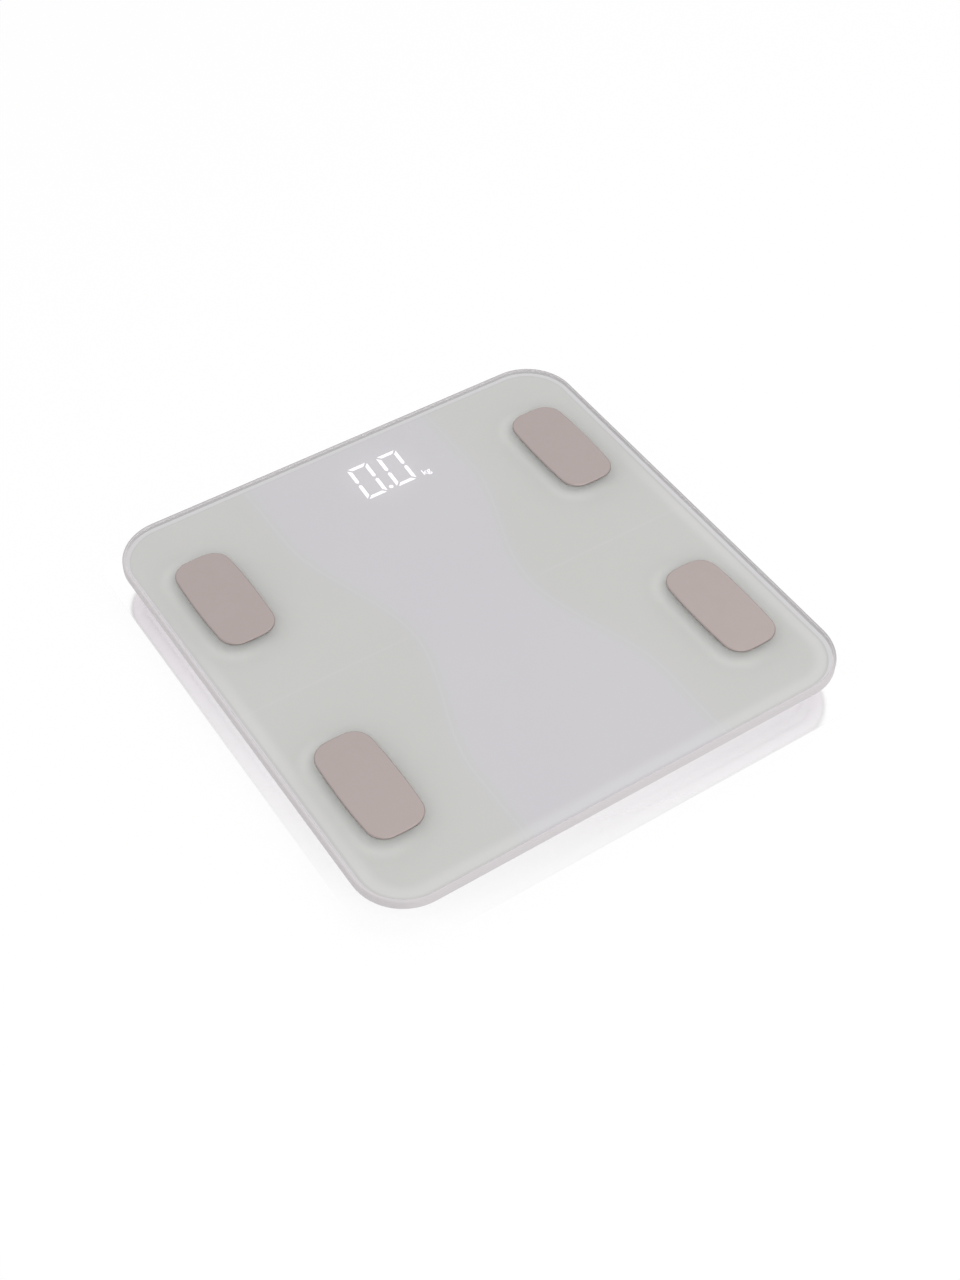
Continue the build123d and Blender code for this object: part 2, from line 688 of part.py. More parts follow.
for name, side in CORNERS.items():
    with BuildPart() as rubber:
        with BuildSketch(foot_plane(side, 0)):
            Circle(pad_r)
        extrude(amount=pad_thick)
        chamfer(rubber.edges().sort_by(Axis.Z)[0], pad_seat / 2)
        with BuildSketch(foot_plane(side, 0)):
            for groove_r in reversed(pad_groove_rs):
                Circle(groove_r + pad_groove_width / 2)
                Circle(groove_r - pad_groove_width / 2, mode=Mode.SUBTRACT)
        extrude(amount=pad_groove_depth, mode=Mode.SUBTRACT)
    keep(rubber, f"foot_pad_{name}")

    with BuildPart() as foot:
        with BuildSketch(foot_plane(side, foot_bottom)):
            Circle(foot_body_r)
        extrude(amount=flange_bottom + flange_thick - foot_bottom)
        chamfer(foot.edges().sort_by(Axis.Z)[0], pad_seat / 2)
        with BuildSketch(foot_plane(side, flange_bottom)):
            Circle(flange_r)
        extrude(amount=flange_thick)
        # hollow from above, with a load button in the middle and six webs
        cup_floor = pad_thick + foot_skin
        with BuildSketch(foot_plane(side, cup_floor)):
            Circle(foot_body_r - foot_wall)
            Circle(load_button_r, mode=Mode.SUBTRACT)
        extrude(amount=flange_bottom + flange_thick - cup_floor, mode=Mode.SUBTRACT)
        with BuildSketch(foot_plane(side, cup_floor)):
            with PolarLocations((foot_body_r - foot_wall + load_button_r) / 2, foot_webs):
                Rectangle(foot_body_r - foot_wall - load_button_r + rib_thick, rib_thick)
        extrude(amount=flange_bottom - cup_floor)
        with BuildSketch(foot_plane(side, cup_floor)):
            Circle(load_button_r)
        extrude(amount=button_top - cup_floor)
        with BuildSketch(foot_plane(side, foot_bottom)):
            Circle(pad_r)
        extrude(amount=pad_seat, mode=Mode.SUBTRACT)
    keep(foot, f"foot_cap_{name}")

    with BuildPart() as cell_plate:
        with BuildSketch(foot_plane(side, plate_bottom)):
            RectangleRounded(2 * plate_half, 2 * plate_half, plate_r)
            window = 2 * (plate_half - frame_arm)
            RectangleRounded(window, window, plate_r / 2, mode=Mode.SUBTRACT)
            with Locations((0, plate_half - (neck_length + frame_arm) / 2)):
                Rectangle(neck_width, neck_length + frame_arm)
            with Locations((0, neck_end - tongue_length / 2)):
                RectangleRounded(tongue_width, tongue_length, plate_r / 2)
        extrude(amount=plate_thick)
        with BuildSketch(foot_plane(side, plate_bottom)):
            Circle(bump_r)
        extrude(amount=-bump_height)
        fillet(cell_plate.edges().sort_by(Axis.Z)[0], bump_height / 2)
    keep(cell_plate, f"load_cell_{name}")

    with BuildPart() as holder:
        holder_half = plate_half + holder_fit + holder_wall
        with BuildSketch(foot_plane(side, plate_top)):
            RectangleRounded(2 * holder_half, 2 * holder_half, plate_r + holder_wall)
            SlotCenterToCenter(2 * screw_post_x, 2 * screw_post_r)
            opening = 2 * (plate_half - holder_lap)
            RectangleRounded(opening, opening, plate_r / 2, mode=Mode.SUBTRACT)
            with GridLocations(2 * screw_post_x, 0, 2, 1):
                Circle(screw_r + boss_hole_gap, mode=Mode.SUBTRACT)
        extrude(amount=holder_thick)
        with BuildSketch(foot_plane(side, plate_top)):
            RectangleRounded(2 * holder_half, 2 * holder_half, plate_r + holder_wall)
            inner = 2 * (plate_half + holder_fit)
            RectangleRounded(inner, inner, plate_r, mode=Mode.SUBTRACT)
            with GridLocations(2 * screw_post_x, 0, 2, 1):
                Circle(screw_post_r + holder_fit, mode=Mode.SUBTRACT)
        extrude(amount=-plate_thick)
        # notch for the sensor lead, towards the middle of the scale
        with BuildSketch(foot_plane(side, plate_top)):
            with Locations((0, -holder_half)):
                Rectangle(sensor_lead_d + 2 * holder_fit, 4 * holder_wall + 2 * holder_lap)
        extrude(amount=sensor_lead_d + holder_fit, mode=Mode.SUBTRACT)
    keep(holder, f"cell_holder_{name}")

with BuildPart() as gauges:
    for side in CORNERS.values():
        with BuildSketch(foot_plane(side, plate_top)):
            with Locations((0, neck_end + neck_length / 2)):
                Rectangle(gauge_x, gauge_y)
        extrude(amount=gauge_thick)
keep(gauges, "strain_gauges")


def pan_head_screws(places, grip):
    """Pan head screws; a place is the centre of the face under a head, and grip is the shank below it."""
    with BuildPart() as screws:
        for place in places:
            with BuildSketch(Plane(place)):
                Circle(screw_head_r)
            extrude(amount=screw_head_height)
            with BuildSketch(Plane(place)):
                Circle(screw_r)
            extrude(amount=-grip)
    return screws


holder_places = [(sx * foot_offset + end * screw_post_x, sy * foot_offset, holder_top)
                 for sx, sy in CORNERS.values() for end in (-1, 1)]
keep(pan_head_screws(holder_places, holder_thick + screw_length - boss_hole_gap), "holder_screws")

board_places = [(x, y, main_board_top) for x, y in main_screw_places]
board_places += [(x, y, display_board_top) for x, y in display_screw_places]
keep(pan_head_screws(board_places, board_thick + screw_length - boss_hole_gap), "board_screws")

# ======== Electrodes, their studs, nuts and terminals ========

for name, side in CORNERS.items():
    with BuildPart() as electrode:
        extrude(electrode_outline(side, electrode_bottom, 0), amount=electrode_thick)
        fillet(electrode.faces().sort_by(Axis.Z)[-1].edges(), electrode_edge_r)
    keep(electrode, f"electrode_{name}")

with BuildPart() as bonds:
    for side in CORNERS.values():
        extrude(electrode_outline(side, glass_top, bond_inset), amount=bond_thick)
    with Locations(*[(x, y, electrode_bottom) for x, y in stud_places()]):
        Hole(stud_r + stud_gap)
keep(bonds, "electrode_bonds")

with BuildPart() as studs:
    with BuildSketch(Plane.XY.offset(stud_bottom)):
        with Locations(*stud_places()):
            Circle(stud_r)
    extrude(amount=electrode_bottom - stud_bottom)
keep(studs, "electrode_studs")

with BuildPart() as nuts:
    with BuildSketch(Plane.XY.offset(nut_bottom)):
        with Locations(*stud_places()):
            RegularPolygon(nut_across / 2, 6, major_radius=False)
            Circle(stud_r + boss_hole_gap, mode=Mode.SUBTRACT)
    extrude(amount=nut_height)
keep(nuts, "electrode_nuts")

with BuildPart() as terminals:
    with BuildSketch(Plane.XY.offset(terminal_bottom)):
        for (x, y), (sx, sy) in zip(stud_places(), CORNERS.values()):
            with Locations((x, y)):
                Circle(terminal_r)
            with Locations((x - sx * terminal_tail / 2, y)):
                Rectangle(terminal_tail, terminal_r)
        with Locations(*stud_places()):
            Circle(stud_r + boss_hole_gap, mode=Mode.SUBTRACT)
    extrude(amount=terminal_thick)
keep(terminals, "electrode_terminals")

# ======== Display ========

with BuildPart() as display_board:
    with BuildSketch(Plane((housing_x, display_y - board_lip / 2, display_board_bottom))):
        Rectangle(display_board_length, housing_depth + board_lip)
    extrude(amount=board_thick)
    with Locations(*[(x, y, display_board_top) for x, y in display_screw_places]):
        Hole(screw_r + boss_hole_gap)
keep(display_board, "display_board")

with BuildPart() as housing:
    with BuildSketch(Plane((housing_x, display_y, display_board_top))):
        Rectangle(housing_length, housing_depth)
    extrude(amount=housing_height)
    extrude(segment_windows(display_board_top), amount=housing_height, mode=Mode.SUBTRACT)
keep(housing, "display_housing")

with BuildPart() as diffuser:
    with BuildSketch(Plane((housing_x, display_y, housing_top))):
        Rectangle(housing_length - 2 * gasket_width, housing_depth - 2 * gasket_width)
    extrude(amount=diffuser_thick)
keep(diffuser, "display_diffuser")

with BuildPart() as gasket:
    with BuildSketch(Plane((housing_x, display_y, housing_top))):
        Rectangle(housing_length, housing_depth)
        Rectangle(housing_length - 2 * gasket_width, housing_depth - 2 * gasket_width, mode=Mode.SUBTRACT)
    extrude(amount=diffuser_thick)
keep(gasket, "display_gasket")

led_x, led_y, led_z = led_size
with BuildPart() as leds:
    with BuildSketch(Plane.XY.offset(display_board_top)):
        for digit_x in digit_xs:
            for x, y, _, turn in digit_segments():
                with Locations(Location((digit_x + x, display_y + y, 0), (0, 0, turn))):
                    Rectangle(led_x, led_y)
        with Locations(*point_places()):
            Rectangle(led_y, led_y)
    extrude(amount=led_z)
keep(leds, "display_leds")

# ======== Main board, its parts and the unit switch ========

with BuildPart() as main_board:
    with BuildSketch(Plane((0, main_board_centre_y, main_board_bottom))):
        Rectangle(main_board_x, main_board_y)
    extrude(amount=board_thick)
    with Locations(*[(x, y, main_board_top) for x, y in main_screw_places]):
        Hole(screw_r + boss_hole_gap)
keep(main_board, "main_board")

# processor, radio module, converter, regulator and crystal: x, y from the board's centre and size
board_parts = ((-8, -2, 9, 9, 1.4), (13, 9, 12, 9, 1.8), (9, -9, 10, 4, 1.6), (-20, -13, 3, 6.5, 1.6),
               (-18, 2, 3.2, 8, 2.2))
with BuildPart() as board_chips:
    for x, y, length, width, height in board_parts:
        with BuildSketch(Plane((x, main_board_centre_y + y, main_board_top))):
            Rectangle(length, width)
        extrude(amount=height)
keep(board_chips, "board_chips")

with BuildPart() as connectors:
    for sx, sy in CORNERS.values():
        place = (sx * connector_x, main_board_centre_y + sy * connector_y, main_board_top)
        with BuildSketch(Plane(place)):
            Rectangle(connector_depth, connector_width)
        extrude(amount=connector_height)
        # mouth for the plug, facing outwards
        with BuildSketch(Plane(origin=(sx * (connector_x + connector_depth / 2), place[1],
                                       main_board_top + connector_height / 2), z_dir=(-sx, 0, 0))):
            Rectangle(connector_width - 2 * connector_wall, connector_height - 2 * connector_wall)
        extrude(amount=connector_depth / 2, mode=Mode.SUBTRACT)
keep(connectors, "board_connectors")

with BuildPart() as switch:
    with BuildSketch(Plane((0, button_y, switch_bottom))):
        Rectangle(switch_side, switch_side)
    extrude(amount=switch_height)
    with BuildSketch(Plane((0, button_y, switch_bottom))):
        Circle(plunger_r + plunger_fit)
    extrude(amount=plunger_bore, mode=Mode.SUBTRACT)
keep(switch, "unit_switch")

with BuildPart() as plunger:
    with BuildSketch(Plane((0, button_y, plunger_bottom))):
        Circle(plunger_r)
    extrude(amount=plunger_reach + plunger_bore - button_travel - plunger_end_gap)
keep(plunger, "switch_plunger")

with BuildPart() as button:
    with BuildSketch(Plane((0, button_y, button_bottom))):
        Circle(button_r)
    extrude(amount=button_flange_bottom - button_bottom)
    fillet(button.edges().sort_by(Axis.Z)[0], button_recess)
    with BuildSketch(Plane((0, button_y, button_flange_bottom))):
        Circle(button_flange_r)
    extrude(amount=button_flange_thick)
    with BuildSketch(Plane((0, button_y, button_flange_bottom))):
        Circle(plunger_r)
    extrude(amount=plunger_bottom - button_flange_bottom)
keep(button, "unit_button")

# ======== Leads ========

notch_z = plate_top + sensor_lead_d / 2
mouth_z = main_board_top + connector_height / 2
mouth_x = connector_x + connector_wall
for name, (sx, sy) in CORNERS.items():
    start_y = sy * (foot_offset - plate_half + frame_arm)
    mouth_y = main_board_centre_y + sy * connector_y
    route = [(foot_offset, start_y, notch_z), (foot_offset, start_y - sy * notch_run, notch_z)]
    led_round = front_sensor_points if sy < 0 else rear_sensor_points
    route += [(x * foot_offset, y * foot_offset, sensor_z + rise) for x, y, rise in led_round]
    route += [(mouth_x, mouth_y, mouth_z)]
    keep(lead_part([[(sx * x, y, z) for x, y, z in route]], sensor_lead_d), f"sensor_lead_{name}")

crimp_z = terminal_bottom - solder_gap - single_lead_d / 2
solder_z = main_board_top + solder_gap + single_lead_d / 2
crimp_x = electrode_x - terminal_tail + crimp_overlap
pad_x = main_board_x / 2 - boss_inset
electrode_routes = []
for sx, sy in CORNERS.values():
    route = [(crimp_x, sy * stud_y, crimp_z)]
    led_round = front_electrode_points if sy < 0 else rear_electrode_points
    route += [(x * foot_offset, y * foot_offset, solder_z + rise) for x, y, rise in led_round]
    route += [(pad_x, main_board_centre_y + sy * pad_shift, solder_z)]
    electrode_routes.append([(sx * x, y, z) for x, y, z in route])
keep(lead_part(electrode_routes, single_lead_d), "electrode_leads")

tab_lead_z = tab_z + contact_thick + solder_gap + single_lead_d / 2
tab_end = bay_half_x + bay_wall + tab_overlap
battery_routes = []
for wall, y in output_tabs:
    route = [(tab_end, y, tab_lead_z)]
    route += [(x, y, solder_z + rise) for x, y, rise in (plus_points if wall > 0 else minus_points)]
    battery_routes.append([(wall * x, y, z) for x, y, z in route])
keep(lead_part(battery_routes, single_lead_d), "battery_leads")

ribbon_main_z = main_board_top + solder_gap + ribbon_thick / 2
ribbon_display_z = display_board_top + solder_gap + ribbon_thick / 2
display_board_front = display_y - housing_depth / 2 - board_lip
main_board_back = main_board_centre_y + main_board_y / 2
with BuildPart() as ribbon:
    with BuildLine() as path:
        FilletPolyline((0, main_board_back - board_lip, ribbon_main_z),
                       (0, main_board_back + ribbon_straight, ribbon_main_z),
                       (0, (main_board_back + display_board_front) / 2, ribbon_main_z + ribbon_rise),
                       (0, display_board_front - ribbon_straight, ribbon_display_z),
                       (0, display_board_front + board_lip - 2 * ribbon_thick, ribbon_display_z),
                       radius=ribbon_bend_r)
    with BuildSketch(Plane(origin=path.line @ 0, x_dir=(1, 0, 0), z_dir=path.line % 0)):
        Rectangle(ribbon_width, ribbon_thick)
    sweep(path=path.wire())
keep(ribbon, "display_ribbon")
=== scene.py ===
# %% [markdown]
# # A glass bathroom scale, dressed in Blender
#
# The scale is already built: a pane of glass on a moulded tray, with feet, a battery door, boards and
# leads in their true places. This lesson loads those pieces as a fixed frame and gives each one the
# surface that it has in real life. It also adds the few things that are too thin to be machined solids:
# the lit figures of the readout. Everything is in metres, +X to the reader's right, +Y towards the
# display edge and +Z up, with the floor at zero.

# %% The frame and its box
import json
import math

import bmesh
import bpy
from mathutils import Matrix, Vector


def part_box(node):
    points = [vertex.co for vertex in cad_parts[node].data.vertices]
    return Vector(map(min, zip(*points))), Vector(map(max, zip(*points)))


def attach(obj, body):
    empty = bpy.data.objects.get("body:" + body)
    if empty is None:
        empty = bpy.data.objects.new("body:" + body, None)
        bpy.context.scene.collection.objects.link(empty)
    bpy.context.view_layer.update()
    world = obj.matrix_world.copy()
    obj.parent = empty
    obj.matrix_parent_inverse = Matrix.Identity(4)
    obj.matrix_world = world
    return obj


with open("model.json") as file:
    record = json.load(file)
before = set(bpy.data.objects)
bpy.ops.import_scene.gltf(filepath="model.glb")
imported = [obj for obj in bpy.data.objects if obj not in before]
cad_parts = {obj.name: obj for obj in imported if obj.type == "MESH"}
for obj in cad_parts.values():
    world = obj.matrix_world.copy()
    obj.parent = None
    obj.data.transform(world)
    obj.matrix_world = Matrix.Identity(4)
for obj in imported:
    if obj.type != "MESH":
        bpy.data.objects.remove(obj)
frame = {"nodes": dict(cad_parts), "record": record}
scene = bpy.context.scene
MM = 0.001
PER_METRE = 1000.0
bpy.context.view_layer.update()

# %% [markdown]
# ## The camera
#
# The scale is seen from its front left corner, from well above, with a long lens, so that the square
# keeps nearly parallel sides. A flat, parallel view would do that too, but it takes the depth out of
# the picture. A lens is easiest to reason about as an angle, but Blender asks for millimetres on a
# 36 mm wide sensor, measured along the picture's long side.

# %% A long lens above the front left corner
eye = bpy.data.cameras.new("eye")
eye.lens = 53.716
eye.sensor_width = 36
eye.clip_start, eye.clip_end = 0.05, 30
camera = bpy.data.objects.new("camera", eye)
camera.location = (-0.37153, -0.54617, 0.74603)
camera.rotation_euler = [math.radians(turn) for turn in (41.242, -0.8754, -33.591)]
scene.collection.objects.link(camera)
scene.camera = camera
scene.view_settings.view_transform = "Standard"
print("the camera stands", round(camera.location.length, 2), "m from the scale")

# %% [markdown]
# ## Small tools for shader nodes
#
# A material is a little circuit. Written out in full, each node takes three or four lines, so a few
# helpers keep the recipes readable: one adds any node and sets its inputs, another adds arithmetic.
# An input can be a plain number or the output of another node, which is then linked.


# %% Adding nodes and arithmetic
def feed(tree, socket, value):
    """Gives a socket a plain value, or links another node's output to it."""
    if isinstance(value, bpy.types.NodeSocket):
        tree.links.new(value, socket)
    else:
        socket.default_value = value


def add(tree, kind, inputs=(), **settings):
    """Adds a shader node; inputs is a dict of socket name or number to a value or another output."""
    node = tree.nodes.new("ShaderNode" + kind)
    for key, value in settings.items():
        setattr(node, key, value)
    for key, value in dict(inputs).items():
        feed(tree, node.inputs[key], value)
    return node


def coordinate(tree, kind="Object"):
    """Three outputs, X, Y and Z: Object is the place on a piece in metres, Normal is its facing."""
    return add(tree, "SeparateXYZ", {0: add(tree, "TexCoord").outputs[kind]}).outputs


def calc(tree, operation, *values):
    """Adds a Math node and returns its output."""
    return add(tree, "Math", dict(enumerate(values)), operation=operation).outputs[0]


def hypotenuse(tree, x, y):
    """The straight distance over a step of x and a step of y."""
    squares = calc(tree, "MULTIPLY", x, x), calc(tree, "MULTIPLY", y, y)
    return calc(tree, "SQRT", calc(tree, "ADD", *squares))


print("helpers ready for nodes and arithmetic")


# %% Ramps and colours
def ramp(tree, value, low, high, to_low=0.0, to_high=1.0, smooth=True):
    """Maps value from the stretch low..high to to_low..to_high, with soft ends."""
    node = add(tree, "MapRange", {"Value": value, "From Min": low, "From Max": high,
                                  "To Min": to_low, "To Max": to_high})
    node.interpolation_type = "SMOOTHERSTEP" if smooth else "LINEAR"
    return node.outputs["Result"]


def blend_colours(tree, share, first, second):
    """Mixes two colours; share 0 gives the first and 1 the second."""
    node = add(tree, "Mix", data_type="RGBA")
    for key, value in (("Factor_Float", share), ("A_Color", first), ("B_Color", second)):
        feed(tree, next(s for s in node.inputs if s.identifier == key), value)
    return next(s for s in node.outputs if s.identifier == "Result_Color")


def shade(level_red, level_green, level_blue):
    """A colour from its 0 to 255 screen values, as Blender's linear numbers."""
    def linear(level):
        v = level / 255
        return v / 12.92 if v <= 0.04045 else ((v + 0.055) / 1.055) ** 2.4
    return linear(level_red), linear(level_green), linear(level_blue), 1.0


print("screen 204 is", round(shade(204, 204, 204)[0], 3), "in linear light")

# %% [markdown]
# ## Effects that several finishes share
#
# Moulded plastic, rubber and foam all have a fine grain; metal has drawn lines; everything that is
# handled has faint marks where it is a little smoother or rougher. Such patterns could come from
# pictures wrapped round the pieces, but worked out from the place on a piece they need no wrapping and
# stay sharp from close by. Each is built once as a node group with named inputs, so every material can
# place it with its own scale and strength. The groups read object coordinates: those stay put on a
# piece when it moves with its joint.


# %% A helper that makes a group with named sockets
def group(name, inputs, outputs):
    """A shader node group; inputs are (name, default) and outputs are (name, kind)."""
    tree = bpy.data.node_groups.new(name, "ShaderNodeTree")
    for socket_name, default in inputs:
        socket = tree.interface.new_socket(socket_name, in_out="INPUT", socket_type="NodeSocketFloat")
        socket.default_value = default
    for socket_name, kind in outputs:
        tree.interface.new_socket(socket_name, in_out="OUTPUT", socket_type="NodeSocket" + kind)
    return tree, tree.nodes.new("NodeGroupInput").outputs, tree.nodes.new("NodeGroupOutput").inputs


def place(tree, made, **inputs):
    """Puts a group into a material with its own input values and returns its outputs."""
    node = add(tree, "Group")
    node.node_tree = made
    for key, value in inputs.items():
        feed(tree, node.inputs[key.replace("_", " ")], value)
    return node.outputs


# %% Grain: the fine sparkle of a spark-eroded mould, of rubber and of foam
grain, given, out = group("fine_grain", [("Size mm", 0.3), ("Fleck", 0.5)],
                          [("Height", "Float"), ("Tone", "Float")])
where = add(grain, "TexCoord").outputs["Object"]
cells_per_metre = calc(grain, "DIVIDE", PER_METRE, given["Size mm"])
fine = add(grain, "TexNoise", {"Vector": where, "Scale": cells_per_metre, "Detail": 2.0, "Roughness": 0.6})
pits = add(grain, "TexVoronoi", {"Vector": where, "Scale": cells_per_metre}, feature="SMOOTH_F1")
height = add(grain, "Mix", {0: given["Fleck"], 2: fine.outputs["Fac"], 3: pits.outputs["Distance"]})
grain.links.new(height.outputs[0], out["Height"])
grain.links.new(fine.outputs["Fac"], out["Tone"])
print("group", grain.name, "has", len(grain.nodes), "nodes")

# %% Drawn lines: the direction that rolling or brushing leaves in metal
drawn, given, out = group("drawn_lines", [("Lines per mm", 4.0), ("Length mm", 8.0)],
                          [("Height", "Float"), ("Tone", "Float")])
parts = coordinate(drawn)
across = calc(drawn, "MULTIPLY", parts["X"], calc(drawn, "MULTIPLY", given["Lines per mm"], PER_METRE))
along = calc(drawn, "DIVIDE", parts["Y"], calc(drawn, "MULTIPLY", given["Length mm"], MM))
stretched = add(drawn, "CombineXYZ", {"X": across, "Y": along, "Z": parts["Z"]})
lines = add(drawn, "TexNoise", {"Vector": stretched.outputs[0], "Scale": 1.0, "Detail": 3.0,
                                "Roughness": 0.7})
drawn.links.new(lines.outputs["Fac"], out["Height"])
drawn.links.new(lines.outputs["Fac"], out["Tone"])
print("group", drawn.name, "has", len(drawn.nodes), "nodes")

# %% Handling marks: slow changes in gloss, as after wiping with a cloth
marks, given, out = group("handling_marks", [("Size mm", 30.0), ("Low", 0.4), ("High", 0.5)],
                          [("Roughness", "Float"), ("Mask", "Float")])
where = add(marks, "TexCoord").outputs["Object"]
clouds = add(marks, "TexNoise", {"Vector": where, "Scale": calc(marks, "DIVIDE", PER_METRE, given["Size mm"]),
                                 "Detail": 3.0, "Roughness": 0.55, "Distortion": 0.4})
mask = ramp(marks, clouds.outputs["Fac"], 0.35, 0.65)
level = add(marks, "Mix", {0: mask, 2: given["Low"], 3: given["High"]})
marks.links.new(level.outputs[0], out["Roughness"])
marks.links.new(mask, out["Mask"])
print("group", marks.name, "has", len(marks.nodes), "nodes")

# %% Distance from a rounded rectangle, measured in the plane of the floor
# Positive outside it and negative inside, in millimetres. The position is folded over both centre
# lines first, so that one rectangle stands for all four corners.
outline_gap, given, out = group("outline_gap",
                                [("Centre X mm", 0.0), ("Centre Y mm", 0.0), ("Half X mm", 140.0),
                                 ("Half Y mm", 140.0), ("Corner mm", 28.0)], [("Gap mm", "Float")])
parts = coordinate(outline_gap)
past_inner = []
for axis in "XY":
    folded = calc(outline_gap, "MULTIPLY", calc(outline_gap, "ABSOLUTE", parts[axis]), PER_METRE)
    from_centre = calc(outline_gap, "ABSOLUTE",
                       calc(outline_gap, "SUBTRACT", folded, given[f"Centre {axis} mm"]))
    inner_half = calc(outline_gap, "SUBTRACT", given[f"Half {axis} mm"], given["Corner mm"])
    past_inner.append(calc(outline_gap, "SUBTRACT", from_centre, inner_half))
outside = hypotenuse(outline_gap, *(calc(outline_gap, "MAXIMUM", past, 0.0) for past in past_inner))
inside = calc(outline_gap, "MINIMUM", calc(outline_gap, "MAXIMUM", *past_inner), 0.0)
gap = calc(outline_gap, "SUBTRACT", calc(outline_gap, "ADD", outside, inside), given["Corner mm"])
outline_gap.links.new(gap, out["Gap mm"])
print("group", outline_gap.name, "has", len(outline_gap.nodes), "nodes")

# %% [markdown]
# ## Studio: floor, world and lamps
#
# A pale product is shown on a white floor. The floor has a polished patch under the scale, so the
# pan's mirror image shows just below the glass, and the polish fades towards the near corner. The
# world is white wherever it is seen, in the glass and in the floor too, but it lights the scale a
# little less strongly than that. A soft lamp on the right gives the low electrodes their shadow side,
# and a second one fills in from the front. More lamps could light the underside, but they would bleach
# the top, so the floor works like a light table: it shows shadows, but soft light comes up through it,
# and the underside of the scale isn't left in the dark.


# %% A new material with a Principled shader
def finish_shader(name, **values):
    """A material with one Principled shader; values name its sockets with _ for spaces."""
    material = bpy.data.materials.new(name)
    material.use_nodes = True
    shader = material.node_tree.nodes["Principled BSDF"]
    for key, value in values.items():
        shader.inputs[key.replace("_", " ")].default_value = value
    return material, material.node_tree, shader.inputs


# %% White paper: the floor's main surface
def seen_directly(tree):
    """1 for what the eye sees straight, in gloss or through glass, and 0 for light on its way."""
    path = add(tree, "LightPath").outputs
    seen = calc(tree, "MAXIMUM", path["Is Camera Ray"],
                calc(tree, "MAXIMUM", path["Is Glossy Ray"], path["Is Transmission Ray"]))
    return calc(tree, "MULTIPLY", seen, calc(tree, "LESS_THAN", path["Diffuse Depth"], 0.5))


floor_material, tree, shader = finish_shader("studio_floor", Base_Color=(0.93, 0.93, 0.93, 1),
                                             Roughness=0.6, Specular_IOR_Level=0.0)
output = tree.nodes["Material Output"].inputs["Surface"]
paper = output.links[0].from_socket
whitening = 0.82
glow = add(tree, "Emission", {"Color": (1, 1, 1, 1), "Strength": 1.0}).outputs[0]
whitened = add(tree, "MixShader", {0: calc(tree, "MULTIPLY", seen_directly(tree), whitening),
                                   1: paper, 2: glow})
print("the paper is whitened by", whitening)

# %% The polished patch, and light from below
# The shares say how much of the floor's look is mirror: more on the left than on the right, and less
# close to the front edge. The fade is measured diagonally from the near corner, in metres.
mirror_blur, patch_edge_mm = 0.16, 0.6
near_corner, fade_start, fade_end = 0.28, 0.025, 0.255
right_share, left_share, front_share, further_share = 0.66, 0.81, 0.75, 1.15
gloss = add(tree, "BsdfAnisotropic", {"Color": (1, 1, 1, 1), "Roughness": mirror_blur}).outputs[0]
patch_gap = place(tree, outline_gap, Half_X_mm=144.0, Half_Y_mm=148.2, Corner_mm=12.0)["Gap mm"]
parts = coordinate(tree)
from_near_corner = calc(tree, "ADD", calc(tree, "ADD", parts["X"], parts["Y"]), near_corner)
left_of_front = calc(tree, "SUBTRACT", parts["Y"], parts["X"])
side_polish = calc(tree, "MULTIPLY", ramp(tree, left_of_front, -0.05, 0.05, right_share, left_share),
                   ramp(tree, parts["Y"], -0.15, -0.13, front_share, further_share, smooth=False))
polish = calc(tree, "MULTIPLY", side_polish,
              ramp(tree, from_near_corner, fade_start, fade_end, 0.0, 1.0, smooth=False))
on_patch = ramp(tree, patch_gap, -patch_edge_mm, patch_edge_mm, 1.0, 0.0)
mirrored = add(tree, "MixShader", {0: calc(tree, "MULTIPLY", on_patch, polish),
                                   1: whitened.outputs[0], 2: gloss})
path = add(tree, "LightPath").outputs
let_through = calc(tree, "MAXIMUM", add(tree, "NewGeometry").outputs["Backfacing"],
                   calc(tree, "MAXIMUM", path["Is Diffuse Ray"], path["Is Shadow Ray"]))
light_table = add(tree, "MixShader", {0: let_through, 1: mirrored.outputs[0],
                                      2: add(tree, "BsdfTransparent").outputs[0]})
tree.links.new(light_table.outputs[0], output)
print("the floor's material has", len(tree.nodes), "nodes")

# %% The floor itself
# It lies a twentieth of a millimetre below the feet, so that the two surfaces don't share a place.
floor_drop = 0.05 * MM
half_floor = 3.0
floor_mesh = bpy.data.meshes.new("floor")
floor_mesh.from_pydata([(-half_floor, -half_floor, 0), (half_floor, -half_floor, 0),
                        (half_floor, half_floor, 0), (-half_floor, half_floor, 0)], [], [(0, 1, 2, 3)])
floor_mesh.materials.append(floor_material)
floor = bpy.data.objects.new("floor", floor_mesh)
floor.location.z = -floor_drop
scene.collection.objects.link(floor)
print("the floor is", 2 * half_floor, "m across")

# %% The world and the lamps
world = bpy.data.worlds.new("studio")
world.use_nodes = True
scene.world = world
tree = world.node_tree
backdrop = tree.nodes["Background"]
backdrop.inputs["Color"].default_value = (1, 1, 1, 1)
world_light = 0.9
strength = ramp(tree, seen_directly(tree), 0, 1, world_light, 1.0, smooth=False)
tree.links.new(strength, backdrop.inputs["Strength"])


def softbox(name, place_m, size_m, watts):
    """A square area lamp that faces the scale."""
    lamp = bpy.data.lights.new(name, "AREA")
    lamp.size, lamp.energy = size_m, watts
    box = bpy.data.objects.new(name, lamp)
    box.location = place_m
    box.rotation_euler = (-Vector(place_m)).to_track_quat("-Z", "Y").to_euler()
    scene.collection.objects.link(box)


softbox("key_softbox", (0.9, -0.05, 1.85), 0.9, 3.7)
softbox("fill_softbox", (-0.25, -0.95, 1.4), 1.0, 4.4)
print("two softboxes, and a white world at", world_light)

